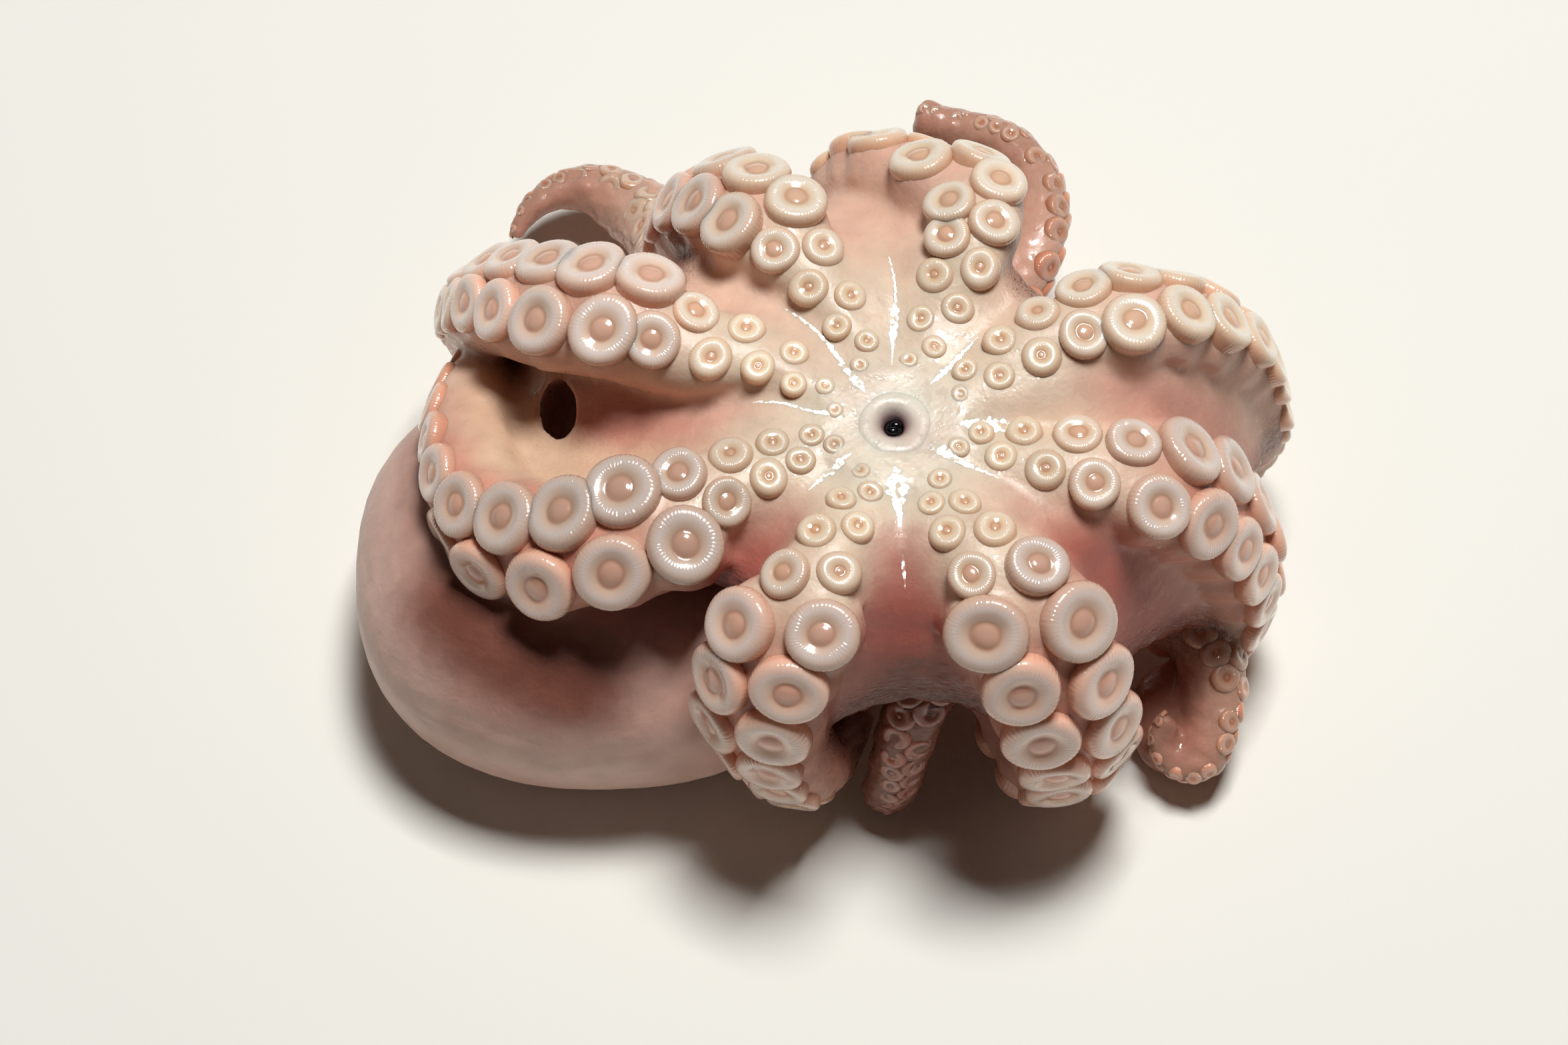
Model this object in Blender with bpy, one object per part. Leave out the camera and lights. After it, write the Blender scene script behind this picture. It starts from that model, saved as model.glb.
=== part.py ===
"""Baby octopus, cooked whole and set down mouth up on its curled arms and its mantle bag.

The body is one solid: eight arms with their two rows of suckers, the webs between
the arms, the head under the mouth and the mantle bag lying beside it. Everything is
worked out in millimetres with the mouth over x = y = 0, and brought to metres last.
"""

import math
from dataclasses import dataclass

import bpy
import numpy as np

NAME = "octopus"
MILLIMETRE = 0.001

# Mouth and head.
MOUTH_HEIGHT = 44.0
MOUTH_RADIUS = 3.3
BEAK_HOLE_RADIUS = 1.5
BEAK_HOLE_DEPTH = 2.2
LIP_RADIUS = 3.4
HEAD_CENTRE = (3.0, 4.0, 21.5)
HEAD_HALF_SIZE = (21.0, 18.0, 17.5)

# Mantle bag, and the neck that joins it to the head.
MANTLE_CENTRE = (-32.0, -2.6, 13.7)
MANTLE_HALF_SIZE = (28.0, 25.0, 16.1)
MANTLE_SQUARENESS = 2.35
NECK_CENTRE = (-14.0, 3.0, 18.0)
NECK_HALF_SIZE = (16.0, 14.0, 14.0)

# Skin rolled up inside the eastern tail.
ROLL_CENTRE = (34.5, -15.0, 6.5)
ROLL_HALF_SIZE = (5.5, 8.0, 6.5)

# Arms, measured along the middle of the sucker rows.
BEND_LENGTH = 8.0
WALK_STEP = 0.5
ARM_RING_SIDES = 20
ARM_SQUARENESS = 0.86
HALF_WIDTHS = ((0.0, 2.6), (8.0, 3.6), (26.0, 6.2), (42.0, 6.2), (75.0, 4.6), (100.0, 3.4))
THICKNESSES = ((0.0, 5.0), (8.0, 7.0), (26.0, 11.0), (42.0, 10.6), (75.0, 8.2), (100.0, 6.2))
END_ROUNDING = 10.0
TIP_HALF_WIDTH = 1.0
TIP_THICKNESS = 1.7
TAIL_FROM = 75.0
WEB_THICKNESS = 3.2

# The dark pit that the western arms curl round, sunk along a slanting line.
PIT_CENTRE = (-36.3, 9.0, 27.0)
PIT_HALF_SIZE = (2.3, 3.6, 8.0)
PIT_LEAN = 28.0

# Suckers.
BIG_SUCKER = 8.0
BIG_SUCKER_UNTIL = 38.0
SMALL_SUCKER = 1.2
SMALL_SUCKER_GROWTH = 0.15
BLOOM_LENGTH = 4.0
CROWDING = 0.95
RIM_HEIGHT = 0.16
MODELLED_SUCKERS = 165
CUPPED_FROM = 5.0
CUP_SIDES = 7
STUD_SIDES = 6

# Body surface.
VOXEL = 0.85
SMOOTHING_PASSES = 5
BODY_TRIANGLES = 3600
PART_TRIANGLES = 11700
TABLE_SIZE = 200.0


@dataclass(frozen=True)
class Arm:
    """One arm: the way it sets out, its bends, and the sizes of its sucker rows.

    Each bend is a curl away from the suckers, a turn to the side and a twist, in
    degrees, spread over BEND_LENGTH.
    """

    azimuth: float
    lift: float
    bends: tuple
    size: float
    small: float
    bloom: float
    first: float
    side: int
    pitch: float
    growth: float
    spread: float = 1.0
    tip: float = 1.0
    tail: float = 1.0


@dataclass(frozen=True)
class Web:
    """The skin between two neighbouring arms."""

    left: str
    right: str
    left_reach: float
    right_reach: float
    notch: float
    sag: float
    left_depth: float = 0.42
    right_depth: float = 0.42


ARMS = {
    "west_back": Arm(
        163, 6,
        ((3, 33, -1), (-6, -43, 0), (-3, 18, 0), (17, -14, -1), (28, 19, 2), (12, 6, -1),
         (13, -1, 1), (11, 4, -1), (23, -6, 1), (33, -2, -1), (14, 55, 3), (5, -14, -1), (-1, 72, 1)),
        size=0.98, small=1.03, bloom=25.0, first=3.1, side=-1, pitch=4.4, growth=0.075),
    "west_front": Arm(
        -165, 0,
        ((0, -5, 0), (1, -11, -4), (10, 3, -5), (16, 17, -7), (15, 14, -8), (15, 17, -11), (27, 17, -10),
         (12, -3, -4), (8, -13, -1), (14, -4, 3), (16, -21, 3), (1, 18, -3), (39, -29, 5), (1, 60, 2)),
        size=1.06, small=1.25, bloom=21.0, first=3.6, side=-1, pitch=2.9, growth=0.18, spread=0.93),
    "front_left": Arm(
        -114, 1,
        ((-8, 0, 0), (16, 7, 0), (30, 4, 1), (29, 1, 0), (19, -2, 0), (14, -7, 0),
         (7, -9, 0), (42, 13, 1), (62, -2, -2), (13, 26, 6), (32, 58, -4)),
        size=1.04, small=1.2, bloom=21.0, first=3.6, side=1, pitch=3.0, growth=0.215, spread=0.97),
    "front_right": Arm(
        -64, -2,
        ((-12, -7, 2), (12, 0, 5), (32, 4, 5), (29, 0, 0), (11, 3, 0), (16, -4, 0), (9, 6, 0),
         (32, 11, 0), (70, -3, -4), (25, 5, -4), (36, 18, -6), (15, 7, -13), (63, 67, -16),
         (30, 11, -12), (13, 9, -13), (9, 26, 0)),
        size=1.1, small=1.22, bloom=20.0, first=5.0, side=-1, pitch=2.6, growth=0.22, tip=2.6),
    "east_front": Arm(
        -16, -3,
        ((-10, -7, 0), (3, 6, 0), (23, -9, 3), (30, -8, 4), (11, 10, 1), (12, 4, 0), (12, 2, 0),
         (14, 5, -1), (58, -16, -7), (62, -4, -1), (80, 16, 5), (56, 31, -9), (14, 36, -27),
         (15, 26, -28), (92, 57, 4), (69, 90, -9)),
        size=1.0, small=1.22, bloom=26.0, first=3.9, side=1, pitch=3.6, growth=0.155, tail=1.4),
    "east_back": Arm(
        31, 4,
        ((-10, -1, 1), (6, 1, -3), (12, 11, -12), (29, -9, -6), (17, 3, 0), (15, -12, 2),
         (15, 13, 4), (-2, -20, 6), (36, 10, 4), (41, 28, 5), (58, -29, -8), (11, -52, 0)),
        size=0.88, small=1.15, bloom=23.0, first=4.3, side=1, pitch=4.3, growth=0.07),
    "back_right": Arm(
        72, -1,
        ((-8, 5, 0), (-20, 3, 0), (31, -24, -2), (29, -31, 9), (11, -2, 14), (18, 5, 15),
         (28, -3, 3), (-8, 41, 0), (8, 31, -3), (26, 35, -10), (12, 26, -10), (-26, 62, -19),
         (-10, 32, -16), (31, 22, -23), (26, 37, -12), (5, -16, -6)),
        size=0.88, small=1.08, bloom=27.0, first=4.3, side=-1, pitch=5.0, growth=0.0, spread=0.95),
    "back_left": Arm(
        111, 0,
        ((-5, 0, 0), (-9, -13, 0), (15, -8, -2), (28, -3, 0), (24, -6, 0), (21, 2, 0),
         (-5, 10, 0), (-12, 8, 7), (-28, 5, 8), (-18, -39, 13), (25, -56, 8), (43, -24, 7)),
        size=0.95, small=1.05, bloom=24.0, first=4.3, side=-1, pitch=5.3, growth=0.04, spread=0.9),
}

WEBS = (
    Web("west_back", "west_front", 62.0, 82.0, 0.0, 6.5, left_depth=0.95, right_depth=0.3),
    Web("west_front", "front_left", 36.0, 31.0, 0.16, 5.0),
    Web("front_left", "front_right", 46.0, 46.0, 0.12, 2.0),
    Web("front_right", "east_front", 46.0, 67.0, 0.1, 4.0),
    Web("east_front", "east_back", 66.0, 62.0, 0.04, 6.0, left_depth=0.7),
    Web("east_back", "back_right", 24.0, 29.0, 0.14, 2.5),
    Web("back_right", "back_left", 36.0, 35.0, 0.14, 3.5),
    Web("back_left", "west_back", 44.0, 46.0, 0.14, 6.0, right_depth=0.8),
)


def profile(knots, tip, distance, total):
    """Read a size off its knots and run it down to the tip over the last stretch."""
    knots = [knot for knot in knots if knot[0] < total - END_ROUNDING]
    knots.append((total, tip))
    return np.interp(distance, [place for place, _ in knots], [value for _, value in knots])


def half_width(arm, distance, total):
    """Half the arm's breadth across its sucker rows."""
    return arm.size * profile(HALF_WIDTHS, TIP_HALF_WIDTH * arm.tip, distance, total)


def thickness(arm, distance, total):
    """The arm's depth under its sucker rows, fuller again where a tail is rolled up."""
    tail = 1.0 + (arm.tail - 1.0) * min(1.0, max(0.0, (distance - TAIL_FROM) / 15.0))
    return arm.size * tail * profile(THICKNESSES, TIP_THICKNESS * arm.tip, distance, total)


def walk(arm):
    """Follow an arm's bends: points, headings and sucker sides along its length."""
    azimuth, lift = math.radians(arm.azimuth), math.radians(arm.lift)
    out = np.array([math.cos(azimuth), math.sin(azimuth), 0.0])
    up = np.array([0.0, 0.0, 1.0])
    heading = out * math.cos(lift) + up * math.sin(lift)
    oral = up * math.cos(lift) - out * math.sin(lift)
    point = out * MOUTH_RADIUS + up * MOUTH_HEIGHT
    rows = [(point, heading, oral)]
    steps = round(BEND_LENGTH / WALK_STEP)
    for curl, turn, twist in np.radians(arm.bends) / steps:
        for _ in range(steps):
            side = np.cross(heading, oral)
            ahead = heading - oral * curl + side * turn
            ahead /= np.linalg.norm(ahead)
            point = point + (heading + ahead) * WALK_STEP / 2
            oral = oral + side * twist + heading * curl
            oral = oral - ahead * (oral @ ahead)
            oral /= np.linalg.norm(oral)
            heading = ahead
            rows.append((point, heading, oral))
    return tuple(np.array(column) for column in zip(*rows))


def arm_tube(arm, route):
    """Rings of a rounded section hung under the sucker rows, closed at both ends."""
    points, headings, orals = route
    total = (len(points) - 1) * WALK_STEP
    angles = np.linspace(0.0, math.tau, ARM_RING_SIDES, endpoint=False)
    across = np.sign(np.cos(angles)) * np.abs(np.cos(angles)) ** ARM_SQUARENESS
    high = np.sign(np.sin(angles)) * np.abs(np.sin(angles)) ** ARM_SQUARENESS
    verts, faces = [], []
    stations = list(range(0, len(points), 3))
    for count, i in enumerate(stations):
        width = half_width(arm, i * WALK_STEP, total)
        half = thickness(arm, i * WALK_STEP, total) / 2
        side = np.cross(headings[i], orals[i])
        centre = points[i] - orals[i] * half
        verts += [centre + side * width * a + orals[i] * half * h for a, h in zip(across, high)]
        if count:
            base = (count - 1) * ARM_RING_SIDES
            for k in range(ARM_RING_SIDES):
                j = (k + 1) % ARM_RING_SIDES
                faces.append((base + k, base + j, base + ARM_RING_SIDES + j, base + ARM_RING_SIDES + k))
    last = (len(stations) - 1) * ARM_RING_SIDES
    faces.append(tuple(reversed(range(ARM_RING_SIDES))))
    faces.append(tuple(range(last, last + ARM_RING_SIDES)))
    return verts, faces


def web_sheet(web, routes, rows=26, columns=14):
    """A thick skin slung between two arms' sides, notched at its free margin."""
    upper, lower = [], []
    ends = []
    for name, reach, deep in ((web.left, web.left_reach, web.left_depth),
                              (web.right, web.right_reach, web.right_depth)):
        ends.append((ARMS[name], routes[name], reach, deep))
    for row in range(rows + 1):
        for column in range(columns + 1):
            k = column / columns
            along = row / rows * (1.0 - web.notch * math.sin(math.pi * k))
            places, inward = [], []
            for arm, (points, headings, orals), reach, deep in ends:
                i = min(round(along * reach / WALK_STEP), len(points) - 1)
                total = (len(points) - 1) * WALK_STEP
                depth = thickness(arm, i * WALK_STEP, total) * deep * min(1.0, i * WALK_STEP / 18.0)
                places.append(points[i] - orals[i] * depth)
                inward.append(orals[i])
            normal = inward[0] * (1 - k) + inward[1] * k
            normal /= np.linalg.norm(normal)
            point = places[0] * (1 - k) + places[1] * k
            point = point - normal * web.sag * math.sin(math.pi * k) * min(1.0, along * 1.6)
            upper.append(point)
            lower.append(point - normal * WEB_THICKNESS)
    width = columns + 1
    count = len(upper)
    faces = []
    for row in range(rows):
        for column in range(columns):
            a = row * width + column
            quad = (a, a + 1, a + width + 1, a + width)
            faces.append(quad)
            faces.append(tuple(count + v for v in reversed(quad)))
    rim = [c for c in range(width)]
    rim += [r * width + columns for r in range(1, rows + 1)]
    rim += [rows * width + c for c in range(columns - 1, -1, -1)]
    rim += [r * width for r in range(rows - 1, 0, -1)]
    for a, b in zip(rim, rim[1:] + rim[:1]):
        faces.append((b, a, count + a, count + b))
    return upper + lower, faces


def rounded_bag(centre, half_size, squareness=2.0, rings=20, sides=36):
    """A closed ball whose sides are squared off a little."""
    verts = []
    power = 2.0 / squareness
    for ring in range(rings + 1):
        tilt = math.pi * ring / rings - math.pi / 2
        for k in range(sides if 0 < ring < rings else 1):
            angle = math.tau * k / sides
            ball = (math.cos(tilt) * math.cos(angle), math.cos(tilt) * math.sin(angle), math.sin(tilt))
            verts.append(np.array([c + h * math.copysign(abs(b) ** power, b)
                                   for c, h, b in zip(centre, half_size, ball)]))
    faces = []
    for k in range(sides):
        j = (k + 1) % sides
        faces.append((0, 1 + j, 1 + k))
        top = len(verts) - 1
        faces.append((top, top - sides + k, top - sides + j))
        for ring in range(rings - 2):
            a = 1 + ring * sides
            faces.append((a + k, a + j, a + sides + j, a + sides + k))
    return verts, faces


def big_sucker(arm, distance, total):
    """The size of a full-grown sucker, dwindling to the tip."""
    return arm.size * np.interp(distance, (BIG_SUCKER_UNTIL, total), (BIG_SUCKER, arm.tip))


def sucker_diameter(arm, distance, total):
    """Suckers grow slowly from the mouth, swell at the bloom and dwindle to the tip."""
    small = arm.small * (SMALL_SUCKER + SMALL_SUCKER_GROWTH * distance)
    big = big_sucker(arm, distance, total)
    swell = min(1.0, max(0.0, (distance - arm.bloom) / BLOOM_LENGTH + 0.5))
    swell = swell * swell * (3 - 2 * swell)
    return float(min(small, big) * (1 - swell) + big * swell)


def sucker_rows(arm, route):
    """Set the two staggered rows: (rim centre, facing, diameter) of every sucker."""
    points, headings, orals = route
    total = (len(points) - 1) * WALK_STEP
    distance, side, rows = arm.first, arm.side, []
    while distance < total - 0.6:
        diameter = sucker_diameter(arm, distance, total)
        i = round(distance / WALK_STEP)
        across = np.cross(headings[i], orals[i]) * side
        offset = arm.spread * diameter * np.interp(distance, (4, 14, 24, 30), (0.45, 0.6, 0.52, 0.46))
        tilt = math.radians(np.interp(distance, (0.0, 12.0, 28.0, total), (2.0, 10.0, 20.0, 24.0)))
        facing = orals[i] * math.cos(tilt) + across * math.sin(tilt)
        rim = points[i] + across * offset - orals[i] * offset * math.tan(tilt / 2) + facing * RIM_HEIGHT * diameter
        rows.append((rim, facing, diameter))
        crowded = CROWDING * big_sucker(arm, distance, total)
        distance += 0.5 * min(arm.pitch + arm.growth * distance, crowded)
        side = -side
    return rows


def sucker_solid(rim, facing, diameter):
    """A flared stud, with a cup in its face when it is large enough to show one."""
    cupped = diameter >= CUPPED_FROM
    sides = CUP_SIDES if cupped else STUD_SIDES
    rings = [(0.4, -0.42), (0.5, 0.03)]
    if cupped:
        rings.append((0.25, 0.05))
    first = np.cross(facing, (0.31, 0.52, 0.79))
    first /= np.linalg.norm(first)
    second = np.cross(facing, first)
    verts, faces = [], []
    for radius, height in rings:
        for k in range(sides):
            angle = math.tau * k / sides
            spoke = first * math.cos(angle) + second * math.sin(angle)
            verts.append(rim + diameter * (spoke * radius + facing * height))
    for ring in range(len(rings) - 1):
        for k in range(sides):
            a, b = ring * sides + k, ring * sides + (k + 1) % sides
            faces.append((a, b, b + sides, a + sides))
    last = (len(rings) - 1) * sides
    faces.append(tuple(reversed(range(sides))))
    if cupped:
        verts.append(rim - facing * 0.1 * diameter)
        faces += [(last + k, last + (k + 1) % sides, len(verts) - 1) for k in range(sides)]
    else:
        faces.append(tuple(range(last, last + sides)))
    return verts, faces


def add_object(name, pieces, collection=None):
    """Make one object of several (verts, faces) pieces."""
    verts, faces = [], []
    for piece_verts, piece_faces in pieces:
        base = len(verts)
        verts += [tuple(map(float, v)) for v in piece_verts]
        faces += [tuple(base + v for v in face) for face in piece_faces]
    mesh = bpy.data.meshes.new(name)
    mesh.from_pydata(verts, [], faces)
    mesh.validate()
    obj = bpy.data.objects.new(name, mesh)
    (collection or bpy.context.scene.collection).objects.link(obj)
    return obj


def apply_modifiers(obj):
    """Keep the shape the modifiers give and drop them."""
    depsgraph = bpy.context.evaluated_depsgraph_get()
    mesh = bpy.data.meshes.new_from_object(obj.evaluated_get(depsgraph), depsgraph=depsgraph)
    obj.modifiers.clear()
    old = obj.data
    obj.data = mesh
    bpy.data.meshes.remove(old)


def add_modifier(obj, kind, **settings):
    """Add one modifier with its settings."""
    modifier = obj.modifiers.new(kind.title(), kind)
    for key, value in settings.items():
        setattr(modifier, key, value)
    return modifier


def keep_largest_shell(obj):
    """Drop every loose scrap and fill every sealed hollow by keeping the outer shell."""
    mesh = obj.data
    parent = list(range(len(mesh.vertices)))

    def root(v):
        while parent[v] != v:
            parent[v] = parent[parent[v]]
            v = parent[v]
        return v

    for edge in mesh.edges:
        a, b = root(edge.vertices[0]), root(edge.vertices[1])
        if a != b:
            parent[a] = b
    shells = {}
    for v in range(len(mesh.vertices)):
        shells.setdefault(root(v), []).append(v)
    outer = set(max(shells.values(), key=len))
    order = {v: n for n, v in enumerate(sorted(outer))}
    verts = [tuple(mesh.vertices[v].co) for v in sorted(outer)]
    faces = [tuple(order[v] for v in p.vertices) for p in mesh.polygons if p.vertices[0] in outer]
    fresh = bpy.data.meshes.new(obj.name)
    fresh.from_pydata(verts, [], faces)
    obj.data = fresh
    bpy.data.meshes.remove(mesh)


def boolean(obj, operation, operand, solver="MANIFOLD"):
    """Join or cut with one object or a whole collection, then remove the operands."""
    settings = {"operation": operation, "solver": solver}
    if isinstance(operand, bpy.types.Collection):
        settings.update(operand_type="COLLECTION", collection=operand)
    else:
        settings.update(operand_type="OBJECT", object=operand)
        operand.hide_render = True
        operand.display_type = "WIRE"
    add_modifier(obj, "BOOLEAN", **settings)
    apply_modifiers(obj)
    if isinstance(operand, bpy.types.Collection):
        for item in list(operand.objects):
            bpy.data.objects.remove(item, do_unlink=True)
        bpy.data.collections.remove(operand)
    else:
        bpy.data.objects.remove(operand, do_unlink=True)


def build_body(routes):
    """Blend arms, webs, head, neck and mantle into one smooth skin."""
    pieces = [arm_tube(arm, routes[name]) for name, arm in ARMS.items()]
    pieces += [web_sheet(web, routes) for web in WEBS]
    pieces.append(rounded_bag(MANTLE_CENTRE, MANTLE_HALF_SIZE, MANTLE_SQUARENESS))
    pieces.append(rounded_bag(HEAD_CENTRE, HEAD_HALF_SIZE))
    pieces.append(rounded_bag(NECK_CENTRE, NECK_HALF_SIZE))
    pieces.append(rounded_bag(ROLL_CENTRE, ROLL_HALF_SIZE))
    pieces.append(rounded_bag((0.0, 0.0, MOUTH_HEIGHT - 3.0), (6.0, 6.0, 3.6)))
    body = add_object(NAME, pieces)
    add_modifier(body, "REMESH", mode="VOXEL", voxel_size=VOXEL)
    apply_modifiers(body)
    keep_largest_shell(body)
    boolean(body, "DIFFERENCE", add_object("pit", [pit()]))
    add_modifier(body, "REMESH", mode="VOXEL", voxel_size=VOXEL)
    add_modifier(body, "SMOOTH", factor=0.5, iterations=SMOOTHING_PASSES)
    triangles = sum(len(p.vertices) - 2 for p in body.data.polygons)
    add_modifier(body, "DECIMATE", ratio=BODY_TRIANGLES / triangles)
    apply_modifiers(body)
    keep_largest_shell(body)
    return body


def pit():
    """A long rounded plug that leans back, cut out between the western arms."""
    verts, faces = rounded_bag((0.0, 0.0, 0.0), PIT_HALF_SIZE)
    lean = math.radians(PIT_LEAN)
    turned = [(x, y * math.cos(lean) - z * math.sin(lean), y * math.sin(lean) + z * math.cos(lean))
              for x, y, z in verts]
    return [np.array(PIT_CENTRE) + v for v in turned], faces


def box(low, high):
    """A plain box between two corners."""
    verts = [(x, y, z) for x in (low[0], high[0]) for y in (low[1], high[1]) for z in (low[2], high[2])]
    faces = [(0, 1, 3, 2), (4, 6, 7, 5), (0, 4, 5, 1), (2, 3, 7, 6), (0, 2, 6, 4), (1, 5, 7, 3)]
    return verts, faces


def mouth_ring():
    """The raised lip round the beak hole."""
    verts, faces = [], []
    sides, around = 6, 14
    for n in range(around):
        angle = math.tau * n / around
        out = np.array([math.cos(angle), math.sin(angle), 0.0])
        for k in range(sides):
            turn = math.tau * k / sides
            verts.append(out * (LIP_RADIUS - 1.1 + 0.9 * math.cos(turn))
                         + np.array([0.0, 0.0, MOUTH_HEIGHT + 0.3 + 0.7 * math.sin(turn)]))
        for k in range(sides):
            j, m = (k + 1) % sides, (n + 1) % around
            faces.append((n * sides + k, m * sides + k, m * sides + j, n * sides + j))
    return verts, faces


def beak_hole():
    """The tapering hole cut down into the middle of the lip."""
    verts, faces = [], []
    sides = 12
    for radius, height in ((0.5, -BEAK_HOLE_DEPTH), (1.0, -0.4), (1.3, 3.0)):
        for k in range(sides):
            angle = math.tau * k / sides
            verts.append((BEAK_HOLE_RADIUS * radius * math.cos(angle),
                          BEAK_HOLE_RADIUS * radius * math.sin(angle), MOUTH_HEIGHT + height))
    for ring in range(2):
        for k in range(sides):
            a, b = ring * sides + k, ring * sides + (k + 1) % sides
            faces.append((a, b, b + sides, a + sides))
    faces.append(tuple(reversed(range(sides))))
    faces.append(tuple(range(2 * sides, 3 * sides)))
    return verts, faces


def add_suckers(body, routes):
    """Union the modelled suckers, the largest first, on to the body."""
    studs = bpy.data.collections.new("suckers")
    bpy.context.scene.collection.children.link(studs)
    rows = [row for name, arm in ARMS.items() for row in sucker_rows(arm, routes[name])]
    rows = [row for row in rows if row[0][2] > 0.5]
    rows = sorted(rows, key=lambda row: -row[2])[:MODELLED_SUCKERS]
    for n, row in enumerate(rows):
        add_object("sucker_%03d" % n, [sucker_solid(*row)], studs)
    add_object("lip", [mouth_ring()], studs)
    boolean(body, "UNION", studs)
    print("suckers", len(rows), "down to", round(rows[-1][2], 1), "mm")


def flesh_material():
    """Cooked flesh, creamy pink."""
    material = bpy.data.materials.new("octopus_flesh")
    material.use_nodes = True
    shader = material.node_tree.nodes["Principled BSDF"]
    shader.inputs["Base Color"].default_value = (0.62, 0.41, 0.34, 1.0)
    shader.inputs["Roughness"].default_value = 0.35
    return material


def settle(body):
    """Stand the part on z = 0 with its box centred, in metres."""
    places = np.array([v.co for v in body.data.vertices])
    low, high = places.min(axis=0), places.max(axis=0)
    shift = np.array([(low[0] + high[0]) / 2, (low[1] + high[1]) / 2, low[2]])
    for vertex, place in zip(body.data.vertices, places):
        vertex.co = (place - shift) * MILLIMETRE
    print("box", np.round(high - low, 2), "mouth at", np.round(-shift + (0, 0, MOUTH_HEIGHT), 2))


def main():
    """Build the part."""
    for old in list(bpy.data.objects):
        bpy.data.objects.remove(old, do_unlink=True)
    routes = {name: walk(arm) for name, arm in ARMS.items()}
    body = build_body(routes)
    add_suckers(body, routes)
    boolean(body, "DIFFERENCE", add_object("beak_hole", [beak_hole()]))
    floor = box((-TABLE_SIZE, -TABLE_SIZE, -TABLE_SIZE), (TABLE_SIZE, TABLE_SIZE, 0.0))
    boolean(body, "DIFFERENCE", add_object("table", [floor]))
    keep_largest_shell(body)
    add_modifier(body, "TRIANGULATE")
    apply_modifiers(body)
    add_modifier(body, "DECIMATE", ratio=PART_TRIANGLES / len(body.data.polygons))
    apply_modifiers(body)
    settle(body)
    body.data.materials.append(flesh_material())
    body.data.shade_smooth()
    print("triangles", len(body.data.polygons))


main()
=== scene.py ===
"""The finished look of a whole cooked baby octopus, lying mouth up on its curled arms.

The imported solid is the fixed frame. Its one node is replaced by a fine skin that follows
the same eight arms, webs, head and mantle bag, by every sucker of the two staggered rows,
and by the horn beak in the mouth. Lengths are in millimetres with the mouth over x = y = 0
while a piece is being made, and each mesh is brought to the frame in metres at the end.
"""

import logging
import math
from collections.abc import Callable
from dataclasses import dataclass
from enum import Enum
from typing import ClassVar

import bmesh
import bpy
import numpy as np
from bmesh.types import BMesh, BMVert
from bpy.types import Material, Mesh, NodeSocket, Object
from mathutils import Euler, Matrix, Vector, noise
from mathutils.bvhtree import BVHTree
from mathutils.kdtree import KDTree
from numpy.typing import NDArray


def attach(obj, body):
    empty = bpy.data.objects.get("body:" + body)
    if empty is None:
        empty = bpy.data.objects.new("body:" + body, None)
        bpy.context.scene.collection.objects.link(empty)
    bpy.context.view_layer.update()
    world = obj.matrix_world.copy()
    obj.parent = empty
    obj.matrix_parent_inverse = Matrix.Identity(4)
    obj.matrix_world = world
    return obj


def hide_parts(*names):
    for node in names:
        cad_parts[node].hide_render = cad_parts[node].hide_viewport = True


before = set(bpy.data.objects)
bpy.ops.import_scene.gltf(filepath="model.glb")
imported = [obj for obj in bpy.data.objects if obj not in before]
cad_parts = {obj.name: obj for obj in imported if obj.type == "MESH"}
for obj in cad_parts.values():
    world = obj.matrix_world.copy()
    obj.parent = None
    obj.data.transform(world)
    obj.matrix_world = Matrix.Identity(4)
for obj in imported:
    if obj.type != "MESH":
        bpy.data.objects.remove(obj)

log = logging.getLogger("octopus")

NODE = "octopus"
MILLIMETRE = 0.001
MOUTH_IN_FRAME = (6.69, -12.60, 0.0)
MOUTH_HEIGHT = 44.0
MOUTH_RADIUS = 3.3
BEND_LENGTH = 8.0
WALK_STEP = 0.5
END_ROUNDING = 10.0
HALF_WIDTHS = ((0.0, 2.6), (8.0, 3.6), (26.0, 6.2), (42.0, 6.2), (75.0, 4.6), (100.0, 3.4))
THICKNESSES = ((0.0, 5.0), (8.0, 7.0), (26.0, 11.0), (42.0, 10.6), (75.0, 8.2), (100.0, 6.2))
TIP_HALF_WIDTH = 1.0
TIP_THICKNESS = 1.7
TAIL_FROM = 75.0
TAIL_FULL = 90.0
SEED = 20

Array = NDArray[np.float64]
Pair = tuple[float, float]
Point = tuple[float, float, float]
Knots = tuple[Pair, ...]
Inputs = dict[str | int, object] | tuple[object, ...]


class Row(Enum):
    """The side of the arm on which the first sucker sits, seen along the arm."""

    LEFT = -1
    RIGHT = 1


class Tier(Enum):
    """The kinds of sucker, each with the smallest diameter in millimetres that counts as one."""

    LARGE = 5.4
    MEDIUM = 2.7
    SMALL = 0.0


@dataclass(frozen=True)
class Arm:
    """One arm: the way it sets out, its bends, and the sizes of its sucker rows.

    Each bend is a curl away from the suckers, a turn to the side and a twist, in
    degrees, spread over BEND_LENGTH.
    """

    azimuth: float
    lift: float
    bends: tuple[Point, ...]
    size: float
    small: float
    bloom: float
    first: float
    row: Row
    pitch: float
    growth: float
    spread: float = 1.0
    tip: float = 1.0
    tail: float = 1.0
    roll: float = 0.0


@dataclass(frozen=True)
class Web:
    """The skin between two neighbouring arms.

    The film gives half the breadth of the broth that stands in its fold, as pairs of
    distance from the mouth and half breadth.
    """

    left: str
    right: str
    left_reach: float
    right_reach: float
    notch: float
    sag: float
    left_depth: float = 0.42
    right_depth: float = 0.42
    crease: float = 0.5
    film: Knots = ()


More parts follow.
